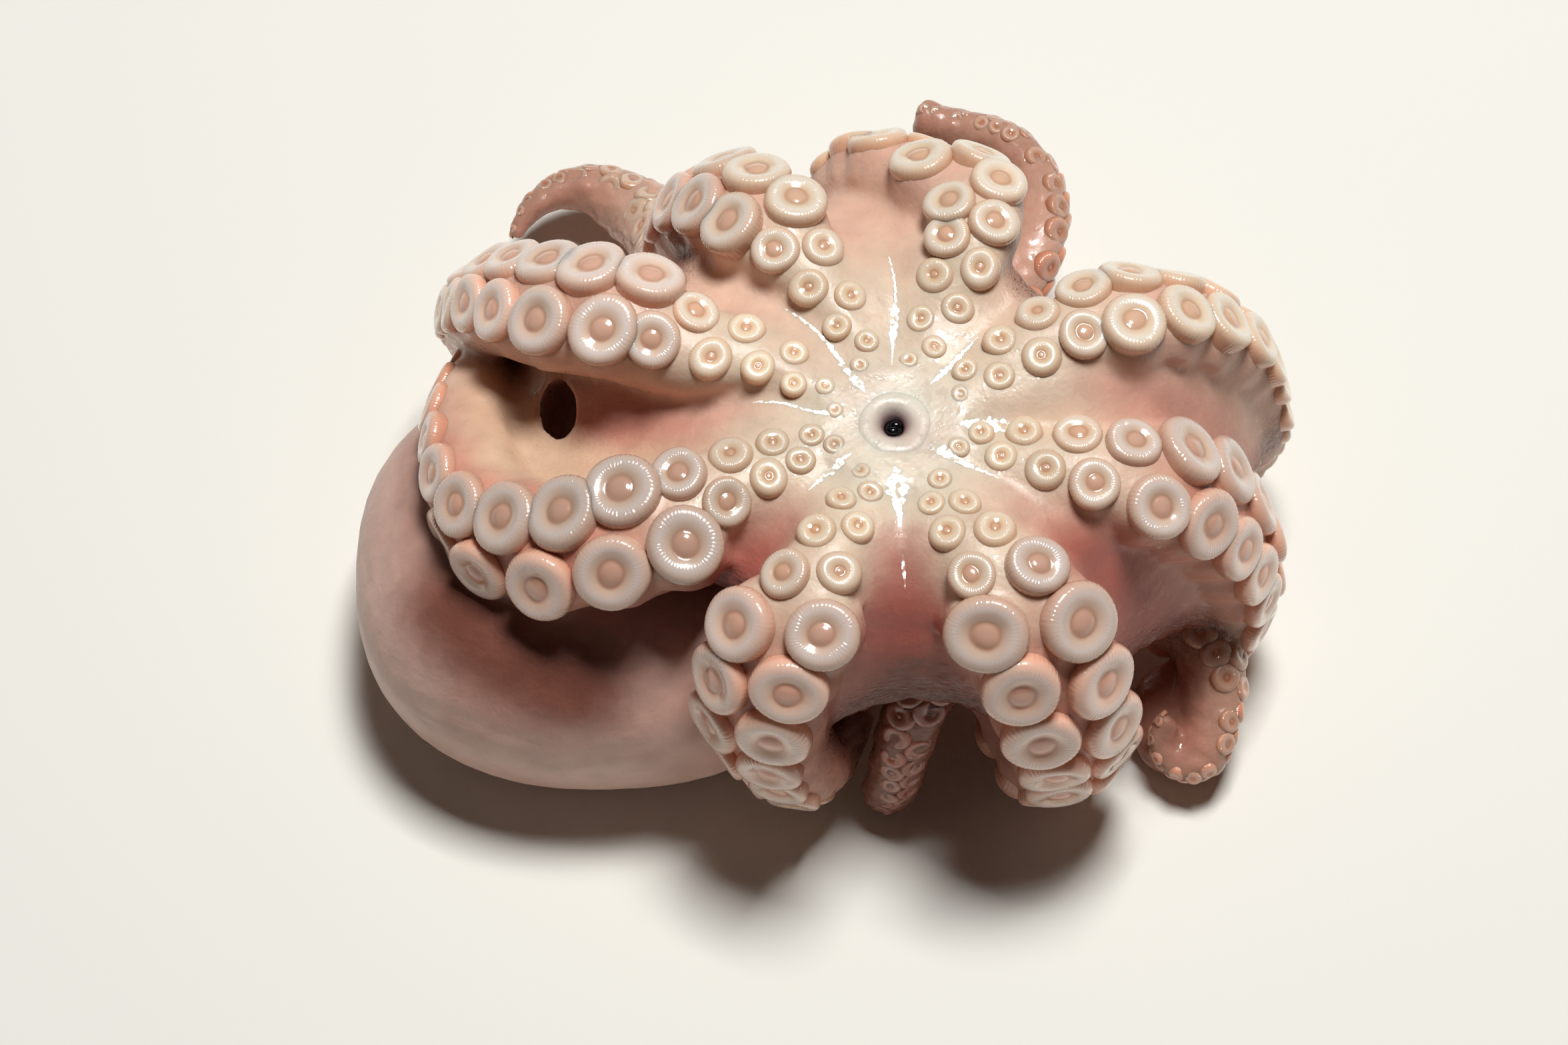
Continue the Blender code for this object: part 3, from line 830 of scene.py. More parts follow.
@dataclass(frozen=True)
class StandingBroth:
    """A thin clear film of cooking liquid over cream flesh: near mirror smooth, with a faint ripple."""

    ripple_mm: float = 0.9
    ripple_depth_mm: float = 0.08
    sunk_light_mm: float = 1.5

    def make(self) -> Material:
        """Build the material."""
        look = Look.start("standing_broth")
        waves = look.add("TexNoise", {"Vector": look.add("TexCoord", output="Object"), "Detail": 3.0,
                                      "Scale": per_metre(self.ripple_mm), "Distortion": 0.5})
        normal = look.add("Bump", {"Height": waves, "Strength": 0.17,
                                   "Distance": self.ripple_depth_mm * MILLIMETRE})
        return look.finish(Base_Color=look.add("Attribute", attribute_name="tone"), Roughness=0.13, IOR=1.36,
                           Normal=normal, Subsurface_Weight=0.3, Coat_Weight=0.7, Coat_Roughness=0.09,
                           Subsurface_Scale=self.sunk_light_mm * MILLIMETRE)


@dataclass(frozen=True)
class BlackHorn:
    """Polished horn, nearly black, which gives sharp small lights."""

    colour: str = "#08070A"
    grain_mm: float = 0.5
    grain_depth_mm: float = 0.1

    def make(self) -> Material:
        """Build the material."""
        look = Look.start("wet_black_horn")
        grain = look.add("TexNoise", {"Vector": look.add("TexCoord", output="Object"), "Detail": 2.0,
                                      "Scale": per_metre(self.grain_mm)})
        normal = look.add("Bump", {"Height": grain, "Strength": 0.4,
                                   "Distance": self.grain_depth_mm * MILLIMETRE})
        return look.finish(Base_Color=linear(self.colour), Roughness=0.12, IOR=1.54, Normal=normal)


@dataclass(frozen=True)
class PaleBoard:
    """A matt white board, very slightly warm."""

    colour: str = "#F1EFE7"

    def make(self) -> Material:
        """Build the material."""
        return Look.start("matt_white_board").finish(Base_Color=linear(self.colour), Roughness=0.8)


# The webs, and what lies where on the body.


@dataclass(frozen=True)
class Drape:
    """How the webs hang: level with the arms round the mouth, slack between them further out."""

    routes: dict[str, Route]
    thickness: float = 3.2
    drop: Pair = (4.0, 27.0)
    sink: Pair = (9.0, 33.0)
    crease_from: Pair = (4.0, 6.5)
    crease_to: Pair = (15.0, 25.0)

    def place(self, web: Web, across: float, along: float) -> tuple[Array, Array, float]:
        """Find a place on a web's upper skin.

        Args:
            web: the web.
            across: the share of the way from its left arm to its right one.
            along: the share of the way from the mouth to its free edge.

        Returns:
            The place, the way it faces, and its mean distance from the mouth along the arms.
        """
        reached = along * (1.0 - web.notch * math.sin(math.pi * across))
        ends, inward, gone = [], [], 0.0
        for name, reach, deep in ((web.left, web.left_reach, web.left_depth),
                                  (web.right, web.right_reach, web.right_depth)):
            route = self.routes[name]
            i = route.index(reached * reach)
            distance = i * WALK_STEP
            depth = float(route.thickness(distance)) * deep * float(ease(distance, *self.drop))
            ends.append(route.points[i] - route.orals[i] * depth)
            inward.append(route.orals[i])
            gone += distance / 2
        normal = inward[0] * (1 - across) + inward[1] * across
        normal /= np.linalg.norm(normal)
        point = ends[0] * (1 - across) + ends[1] * across
        slack = web.sag * math.sin(math.pi * across) * float(ease(gone, *self.sink))
        return point - normal * slack, normal, gone

    def margins(self) -> Array:
        """Points along the middle of every free edge."""
        edge = []
        for web in WEBS:
            for across in np.linspace(0.0, 1.0, 41):
                point, normal, _ = self.place(web, float(across), 1.0)
                edge.append(point - normal * self.thickness / 2)
        return np.array(edge)

    def creases(self) -> tuple[Array, Array]:
        """Points down the middle of the folds round the mouth, and how deep each is, 0 to 1."""
        line, depth = [], []
        for web in WEBS:
            for along in np.linspace(0.0, 0.7, 60):
                point, _, gone = self.place(web, web.crease, float(along))
                line.append(point)
                depth.append(float(ease(gone, *self.crease_from) * (1 - ease(gone, *self.crease_to))))
        return np.array(line), np.array(depth)


@dataclass(frozen=True)
class Bag:
    """A closed rounded form: its centre, half its size each way, and how squared its sides are."""

    centre: Point
    half: Point
    squareness: float = 2.0

    def depth(self, places: Array) -> Array:
        """How far out each place lies, 1 on the form's own surface."""
        share = np.abs((places - np.array(self.centre)) / np.array(self.half))
        return (share ** self.squareness).sum(1) ** (1 / self.squareness)

    def add(self, bm: BMesh) -> None:
        """Add the form to a mesh."""
        made = bmesh.ops.create_uvsphere(bm, u_segments=48, v_segments=32, radius=1.0)
        power = 2.0 / self.squareness
        for vert in made["verts"]:
            vert.co = Vector([c + h * math.copysign(abs(b) ** power, b)
                              for c, h, b in zip(self.centre, self.half, vert.co)])


MANTLE = Bag((-32.0, -2.6, 13.7), (28.0, 25.0, 16.1), 2.35)
MANTLE_FOLDS = (
    ((-58.9, -2.8, 19.4), (-57.9, -6.1, 21.0), (-57.0, -9.5, 21.6), (-55.7, -12.7, 21.9),
     (-55.7, -14.5, 20.8)),
    ((-55.4, -3.3, 23.9), (-56.4, -4.6, 22.9), (-56.4, -7.0, 22.7), (-55.8, -9.0, 23.0)),
    ((-53.4, 2.9, 25.0), (-54.7, 0.2, 24.3), (-55.4, -2.1, 23.9)),
    ((-54.1, -19.1, 18.3), (-50.3, -21.9, 19.3), (-45.3, -24.1, 20.2), (-39.4, -26.1, 19.4)),
    ((-36.3, -27.3, 16.2), (-32.5, -27.0, 18.2), (-27.0, -26.4, 19.4)),
)
# The edge of the west front arm's shadow on the mantle, along which painted shade is darkest.
MANTLE_SHADE = ((-47.5, -12.5, 26.0), (-45.0, -15.8, 26.6), (-41.5, -18.6, 26.4), (-37.5, -20.6, 25.8),
                (-34.0, -21.3, 25.4))
PIT = Bag((-36.0, 10.4, 27.0), (3.0, 5.0, 9.0))
PIT_LEAN = 28.0


@dataclass
class Survey:
    """What lies near each of many places on the body.

    Distances are in millimetres. `across` and `high` are measured from the middle of the
    nearest arm, 1 at its side and at its suckers. `sucker_gap` is in radii of the sucker.
    """

    places: Array
    arm: NDArray[np.int64]
    distance: Array
    share: Array
    across: Array
    high: Array
    from_mouth: Array
    mantle: Array
    margin: Array
    crease: Array
    crease_depth: Array
    mantle_fold: Array
    mantle_shade: Array
    pit: Array
    sucker_gap: Array
    sucker_size: Array

    @classmethod
    def take(cls, places: Array, drape: Drape, suckers: list[Sucker]) -> "Survey":
        """Measure many places.

        Args:
            places: the places, in millimetres about the mouth.
            drape: the webs and arms.
            suckers: every sucker.

        Returns:
            The survey.
        """
        routes = list(drape.routes.values())
        steps = [np.arange(len(route.points)) * WALK_STEP for route in routes]
        depth = np.concatenate([route.thickness(step) / 2 for route, step in zip(routes, steps)])
        width = np.concatenate([route.half_width(step) for route, step in zip(routes, steps)])
        oral = np.concatenate([route.orals for route in routes])
        heading = np.concatenate([route.headings for route in routes])
        centre = np.concatenate([route.points for route in routes]) - oral * depth[:, None]
        arm = np.concatenate([np.full(len(step), n) for n, step in enumerate(steps)])
        hit, _ = nearest(tree_of(centre), places)
        offset = places - centre[hit]
        side = np.cross(heading[hit], oral[hit])
        distance = np.concatenate(steps)[hit]
        share = distance / np.array([route.total for route in routes])[arm[hit]]
        _, margin = nearest(tree_of(drape.margins()), places)
        line, line_depth = drape.creases()
        on_line, crease = nearest(tree_of(line), places)
        _, mantle_fold = nearest(tree_of(np.concatenate([trace(fold) for fold in MANTLE_FOLDS])), places)
        _, mantle_shade = nearest(tree_of(trace(MANTLE_SHADE)), places)
        down_pit = Vector((0.0, 0.0, 1.1 * PIT.half[2]))
        down_pit.rotate(Euler((math.radians(PIT_LEAN), 0.0, 0.0)))
        shaft = np.array(PIT.centre) + np.linspace(-1.0, 1.0, 15)[:, None] * np.array(down_pit)
        _, pit = nearest(tree_of(shaft), places)
        at, sucker_gap = nearest(tree_of(np.array([sucker.rim for sucker in suckers])), places)
        size = np.array([sucker.diameter for sucker in suckers])[at]
        return cls(places, arm[hit], distance, share, (offset * side).sum(1) / width[hit],
                   (offset * oral[hit]).sum(1) / depth[hit],
                   np.linalg.norm(places - np.array([0.0, 0.0, MOUTH_HEIGHT]), axis=1),
                   1.0 - ease(MANTLE.depth(places), 1.02, 1.1), margin, crease, line_depth[on_line],
                   mantle_fold, mantle_shade, pit, sucker_gap / (size / 2), size)

    def on(self, arm: str) -> Array:
        """One where an arm is the nearest, nought elsewhere."""
        return (self.arm == list(ARMS).index(arm)).astype(float)

    def in_web(self) -> Array:
        """How far each place lies out in a web, 0 on an arm and on the mantle."""
        return ease(np.hypot(self.across, self.high), 1.15, 1.9) * (1 - self.mantle)


@dataclass(frozen=True)
class Complexion:
    """The tones of the cooked skin and where they lie.

    Each pair is where a tone comes in and where it is full, or where it starts to fade and
    is gone: in millimetres, in shares of the arm's thickness or breadth, or of its length.
    """

    side: str = "#DDB09D"
    under: str = "#BC8371"
    web: str = "#CC8778"
    # The front webs' red, partly their own colour and partly painted shade, as they face away from the light.
    front_web_red_and_shade: str = "#B8665A"
    web_back: str = "#E6C4AC"
    oral: str = "#DFB7A2"
    salmon: str = "#D28E7A"
    cream: str = "#E2CCB4"
    ivory: str = "#E6D8C4"
    lip: str = "#E0D6C8"
    # Darker purple going into the mouth, partly the lip's own colour and partly painted shade in the opening.
    throat: str = "#7C5A60"
    tail: str = "#AC7D69"
    # Painted shade: the front right arm's tail inside the arch is darkened for the shade there.
    arch_shaded_tail: str = "#84503F"
    bag: str = "#DBB5A7"
    # Painted shade, laid on the mantle under the west front arm and in the hollow beside the pit.
    painted_shade: str = "#7A4638"
    edge: str = "#6C3026"
    flank_cream: str = "#DCBC9F"
    top: Pair = (-0.2, 0.75)
    underside: Pair = (0.1, 1.0)
    beside: Pair = (0.95, 1.45)
    grown: Pair = (16.0, 34.0)
    north: Pair = (5.0, 12.0)
    south: Pair = (-14.0, -5.0)
    front_web: Pair = (10.0, 18.0)
    front_fold: Pair = (10.0, 16.0)
    fold: Pair = (1.5, 4.5)
    between: Pair = (1.2, 2.1)
    between_sizes: Pair = (5.0, 7.0)
    cream_reach: Pair = (7.0, 17.5)
    ivory_reach: Pair = (5.0, 13.0)
    lip_reach: Pair = (3.0, 4.6)
    throat_reach: Pair = (1.1, 2.3)
    hidden_arm: Pair = (0.55, 0.7)
    tail_share: Pair = (0.66, 0.9)
    arch_tail: Pair = (92.0, 102.0)
    shaded_mantle: Pair = (3.0, 9.5)
    shaded_pit: Pair = (4.5, 19.0)
    margin: Pair = (1.4, 5.5)

    def read(self, seen: Survey) -> tuple[Array, Array]:
        """Lay the tones over each other, from the arms' sides up, and work out the marks.

        Args:
            seen: what lies near each place.

        Returns:
            Linear tones, and the marks: dusk, wetness, and the distance to a free edge.
        """
        body = 1 - seen.mantle
        on_top = ease(seen.high, *self.top)
        in_web = seen.in_web()
        off_arm = np.maximum(in_web, ease(np.abs(seen.across), *self.beside) * body)
        rim = 1 - ease(seen.margin, *self.margin)
        coats = [
            (self.under, 0.7 * ease(-seen.high, *self.underside)),
            (self.web, 0.8 * in_web),
            *self.by_side(seen, on_top, off_arm),
            (self.oral, 0.9 * on_top * (1 - in_web)),
            *self.round_mouth(seen, on_top, off_arm),
            (self.tail, 0.75 * ease(seen.share, *self.tail_share) * body),
            # Painted shade over the tail that lies inside the arch.
            (self.arch_shaded_tail, 0.85 * seen.on("front_right") * ease(seen.distance, *self.arch_tail) * body),
            (self.bag, seen.mantle),
            # Painted shade on the mantle and beside the pit.
            *self.in_shade(seen),
            (self.edge, 0.75 * rim * body),
            *self.in_mouth(seen),
        ]
        tones = np.tile(tone(self.side), (len(seen.places), 1))
        for colour, share in coats:
            tones = blend(tones, tone(colour), share)
        dusk = np.clip(0.8 * rim + 0.06 * ease(-seen.high, 0.3, 1.0), 0, 1) * body
        wet = 0.28 + 0.16 * (1 - ease(seen.from_mouth, 8.0, 22.0)) + 0.3 * ease(seen.share, 0.6, 0.8) * body
        wet = (wet + 0.35 * (1 - ease(seen.pit, 3.2, 6.0))) * (1 - 0.5 * seen.mantle)
        return tones, np.stack([dusk, np.clip(wet, 0, 1), np.clip(seen.margin / 10.0, 0, 1)], axis=1)

    def by_side(self, seen: Survey, on_top: Array, off_arm: Array) -> list[tuple[str, Array]]:
        """Cream flesh at the back, darker red webs in front, their red partly painted shade, and a cream
        flank on the west front arm.
        """
        back = ease(seen.places[:, 1], *self.north) * (1 - ease(seen.share, *self.hidden_arm))
        front = (1 - ease(seen.places[:, 1], *self.south)) * ease(seen.distance, *self.front_web)
        flank = ease(seen.across, -0.3, 0.5) * ease(seen.distance, 8.0, 24.0)
        flank = flank * (1 - ease(seen.distance, 66.0, 84.0)) * seen.on("west_front")
        return [(self.web_back, 0.85 * back * np.maximum(off_arm, 0.7 * (1 - on_top))),
                (self.front_web_red_and_shade, front * np.maximum(0.95 * off_arm, 0.6 * (1 - on_top))),
                (self.flank_cream, 0.92 * flank)]

    def round_mouth(self, seen: Survey, on_top: Array, off_arm: Array) -> list[tuple[str, Array]]:
        """Salmon between the large suckers, cream and ivory towards the mouth, darker red folds in front,
        partly painted shade.
        """
        between = (1 - ease(seen.sucker_gap, *self.between)) * ease(seen.sucker_size, *self.between_sizes)
        between = between * (1 - 0.8 * ease(seen.places[:, 1], 0.0, 9.0))
        in_fold = np.maximum(off_arm, 1 - ease(seen.crease, *self.fold))
        in_fold = in_fold * (1 - ease(seen.places[:, 1], *self.south))
        return [(self.salmon, between * on_top),
                (self.cream, 0.85 * on_top * (1 - ease(seen.distance, *self.grown))),
                (self.cream, 0.85 * (1 - ease(seen.from_mouth, *self.cream_reach))),
                (self.ivory, 1 - ease(seen.from_mouth, *self.ivory_reach)),
                (self.front_web_red_and_shade, 0.72 * in_fold * ease(seen.from_mouth, *self.front_fold))]

    def in_shade(self, seen: Survey) -> list[tuple[str, Array]]:
        """Painted shade: darker tones on the mantle under the west front arm, and to the right of the pit."""
        by_arm = 1 - ease(np.hypot(seen.across, seen.high), 1.6, 2.6)
        mantle = np.maximum(0.97 * (1 - ease(seen.mantle_shade, *self.shaded_mantle)),
                            0.45 * seen.on("west_front") * by_arm)
        east, north = (seen.places - np.array(PIT.centre))[:, :2].T
        pit_shade = (1 - ease(seen.pit, *self.shaded_pit)) * ease(north, -2.5, 1.5) * ease(east, -4.0, 1.0)
        return [(self.painted_shade, seen.mantle * mantle), (self.painted_shade, 0.9 * pit_shade * (1 - seen.mantle))]

    def in_mouth(self, seen: Survey) -> list[tuple[str, Array]]:
        """The lip's ring and the darker throat in it, partly painted shade going into the mouth, kept to what
        lies near the mouth.
        """
        radius = np.hypot(seen.places[:, 0], seen.places[:, 1]) + 9.0 * (seen.from_mouth > 6.0)
        return [(self.lip, 1 - ease(radius, *self.lip_reach)),
                (self.throat, 1 - ease(radius, *self.throat_reach))]


# Pieces.


class Piece:
    """What every sub-assembly of the octopus does once its mesh is made."""

    slot: ClassVar[str] = "flesh"

    def dress(self, piece: Object, finish: Material) -> None:
        """Give the piece its finish and settle it in the frame."""
        settle(piece, finish, self.slot)


@dataclass
class Flesh(Piece):
    """The whole skin: arms, webs, head, neck and mantle bag."""

    drape: Drape
    suckers: list[Sucker]
    voxel: float = 0.52
    triangles: int = 190000
    ring_sides: int = 24
    arm_squareness: float = 0.86
    smoothing: int = 5
    crease_depth: float = 0.7
    crease_width: float = 1.9
    least_stalk: float = 1.6
    stalk_radii: Pair = (0.62, 0.45)
    stalk_height: float = 0.46
    stalk_sunk: float = 0.39
    throat_radii: Pair = (2.3, 2.7)
    throat_depth: float = 8.0
    bags: tuple[Bag, ...] = (
        MANTLE,
        Bag((3.0, 4.0, 21.5), (21.0, 18.0, 17.5)),
        Bag((-14.0, 3.0, 18.0), (16.0, 14.0, 14.0)),
        Bag((33.5, -15.5, 3.0), (6.0, 7.0, 4.0)),
        Bag((0.0, 0.0, MOUTH_HEIGHT - 3.6), (7.0, 7.0, 3.6)),
    )

    def add_arm(self, bm: BMesh, route: Route) -> None:
        """Hang a rounded tube under one arm's sucker rows."""
        def place(across: float, along: float) -> Vector:
            """The tube's corner at two shares of its grid."""
            distance = along * route.total
            i = route.index(distance)
            width, half = float(route.half_width(distance)), float(route.thickness(distance)) / 2
            side = np.cross(route.headings[i], route.orals[i])
            turn = across * math.tau
            out = math.copysign(abs(math.cos(turn)) ** self.arm_squareness, math.cos(turn))
            high = math.copysign(abs(math.sin(turn)) ** self.arm_squareness, math.sin(turn))
            return Vector(route.points[i] + side * width * out + route.orals[i] * half * (high - 1.0))

        tube = bmesh.new()
        verts = lay_grid(tube, self.ring_sides, round(route.total / 1.5), place)
        bmesh.ops.remove_doubles(tube, verts=verts, dist=0.001)
        bmesh.ops.holes_fill(tube, edges=[e for e in tube.edges if e.is_boundary], sides=0)
        self.take(bm, tube)

    def add_web(self, bm: BMesh, web: Web) -> None:
        """Sling a thick skin between two arms' sides, notched at its free margin."""
        sheet = bmesh.new()
        share_across = sheet.verts.layers.float.new("across")
        share_along = sheet.verts.layers.float.new("along")
        made = bmesh.ops.create_grid(sheet, x_segments=16, y_segments=36, size=1.0)
        for vert in made["verts"]:
            vert[share_across], vert[share_along] = (vert.co.x + 1) / 2, (vert.co.y + 1) / 2
        under = bmesh.ops.extrude_face_region(sheet, geom=sheet.faces[:], use_keep_orig=True)
        lower = {v for v in under["geom"] if isinstance(v, BMVert)}
        for vert in sheet.verts:
            point, normal, _ = self.drape.place(web, vert[share_across], vert[share_along])
            vert.co = Vector(point - normal * self.drape.thickness * (vert in lower))
        self.take(bm, sheet)

    def add_pedestals(self, bm: BMesh) -> None:
        """Raise the flesh under each sucker into a short stalk."""
        foot, head = self.stalk_radii
        for sucker in self.suckers:
            size = sucker.diameter
            if size < self.least_stalk:
                continue
            stalk = bmesh.new()
            turn = Vector(sucker.facing).to_track_quat("Z", "Y").to_matrix().to_4x4()
            middle = Matrix.Translation(Vector(sucker.rim - sucker.facing * self.stalk_sunk * size))
            bmesh.ops.create_cone(stalk, cap_ends=True, segments=12, radius1=foot * size, radius2=head * size,
                                  depth=self.stalk_height * size, matrix=middle @ turn)
            self.take(bm, stalk)

    @staticmethod
    def take(bm: BMesh, piece: BMesh) -> None:
        """Add one closed shape to the others, facing out."""
        bmesh.ops.recalc_face_normals(piece, faces=piece.faces[:])
        mesh = bpy.data.meshes.new("scrap")
        piece.to_mesh(mesh)
        piece.free()
        bm.from_mesh(mesh)
        bpy.data.meshes.remove(mesh)

    def cutters(self) -> list[Object]:
        """Make what is cut away: the pit between the western arms, the mouth, and all under the table."""
        pit, mouth, table = (bmesh.new() for _ in range(3))
        lean = Matrix.Translation(PIT.centre) @ Matrix.Rotation(math.radians(PIT_LEAN), 4, "X")
        bmesh.ops.create_uvsphere(pit, u_segments=24, v_segments=16, radius=1.0,
                                  matrix=lean @ Matrix.Diagonal((*PIT.half, 1.0)))
        low, high = self.throat_radii
        bmesh.ops.create_cone(mouth, cap_ends=True, segments=28, radius1=low, radius2=high,
                              depth=self.throat_depth, matrix=Matrix.Translation((0.0, 0.0, MOUTH_HEIGHT)))
        bmesh.ops.create_cube(table, size=200.0, matrix=Matrix.Translation((0.0, 0.0, -100.0)))
        for bm in (pit, mouth, table):
            bmesh.ops.recalc_face_normals(bm, faces=bm.faces[:])
        return [finish_mesh(bm, name) for bm, name in ((pit, "pit"), (mouth, "mouth"), (table, "table"))]

    def build(self) -> Object:
        """Blend every part into one fine skin.

        Returns:
            The skin, in millimetres about the mouth.
        """
        bm = bmesh.new()
        for route in self.drape.routes.values():
            self.add_arm(bm, route)
        for web in WEBS:
            self.add_web(bm, web)
        for bag in self.bags:
            form = bmesh.new()
            bag.add(form)
            self.take(bm, form)
        self.add_pedestals(bm)
        skin = finish_mesh(bm, "skin")
        add_modifier(skin, "REMESH", mode="VOXEL", voxel_size=self.voxel)
        apply_modifiers(skin)
        keep_largest_shell(skin)
        for cutter in self.cutters():
            cut(skin, cutter)
        add_modifier(skin, "REMESH", mode="VOXEL", voxel_size=self.voxel)
        add_modifier(skin, "SMOOTH", factor=0.5, iterations=self.smoothing)
        apply_modifiers(skin)
        keep_largest_shell(skin)
        self.add_relief(skin)
        triangles = sum(len(face.vertices) - 2 for face in skin.data.polygons)
        add_modifier(skin, "DECIMATE", ratio=min(1.0, self.triangles / triangles))
        apply_modifiers(skin)
        skin.data.shade_smooth()
        return skin

    def add_relief(self, skin: Object) -> None:
        """Press in the folds and raise the small unevenness of cooked flesh."""
        places = corners(skin.data)
        seen = Survey.take(places, self.drape, self.suckers)
        body = 1 - seen.mantle
        tail = ease(seen.share, 0.62, 0.8) * body
        rim = (1 - ease(seen.margin, 1.5, 5.0)) * body
        lift, press = (np.exp(-((seen.mantle_fold - middle) / width) ** 2)
                       for middle, width in ((1.6, 1.0), (0.0, 0.8)))
        height = sum((
            0.1 * ripple(places, 5.0) * body,
            0.2 * ripple(places, 15.0, 3.1) * seen.mantle,
            0.05 * ripple(places, 1.9, 7.7),
            0.4 * tail * np.abs(ripple(places, 2.0, 1.3)),
            0.18 * rim * ripple(places, 1.3, 5.9),
            -self.crease_depth * seen.crease_depth * np.exp(-(seen.crease / self.crease_width) ** 2),
            seen.mantle * (0.05 * lift - 0.08 * press),
        ))
        above_table = ease(places[:, 2], 0.3, 2.0)
        put_corners(skin.data, places + facings(skin.data) * (height * above_table)[:, None])


@dataclass(frozen=True)
class Section:
    """Half of a sucker's section, from the middle of its cup out and down to its stalk.

    The points are (radius, height) in diameters. `cup` is the radius of the ball and its groove.
    """

    points: Knots
    cup: float
    sides: int

    def shares(self) -> list[float]:
        """Where each point lies in the finish's bands: cup to 0.27, rim's edge at 0.7, stalk at 1."""
        widest = max(range(len(self.points)), key=lambda n: self.points[n][0])
        reach = self.points[widest][0]
        made = []
        for n, (radius, _) in enumerate(self.points):
            if n > widest:
                made.append(0.7 + 0.3 * (n - widest) / (len(self.points) - 1 - widest))
            elif radius <= self.cup:
                made.append(0.27 * radius / self.cup)
            else:
                made.append(0.27 + 0.43 * (radius - self.cup) / (reach - self.cup))
        return made


SECTIONS: dict[Tier, Section] = {
    Tier.LARGE: Section(
        ((0.0, 0.012), (0.11, 0.0), (0.16, -0.03), (0.19, -0.022), (0.245, 0.001),
         (0.31, 0.02), (0.38, 0.021), (0.44, 0.002), (0.482, -0.042), (0.5, -0.11),
         (0.488, -0.2), (0.46, -0.36)), 0.167, 14),
    Tier.MEDIUM: Section(
        ((0.0, 0.0), (0.06, -0.006), (0.095, -0.024), (0.12, -0.012), (0.2, 0.012), (0.29, 0.024),
         (0.36, 0.016), (0.42, -0.012), (0.475, -0.07), (0.5, -0.15), (0.5, -0.34)), 0.1, 12),
    Tier.SMALL: Section(
        ((0.0, -0.02), (0.055, -0.012), (0.1, -0.022), (0.2, 0.008), (0.32, 0.01), (0.43, -0.05),
         (0.5, -0.15), (0.52, -0.36)), 0.1, 10),
}


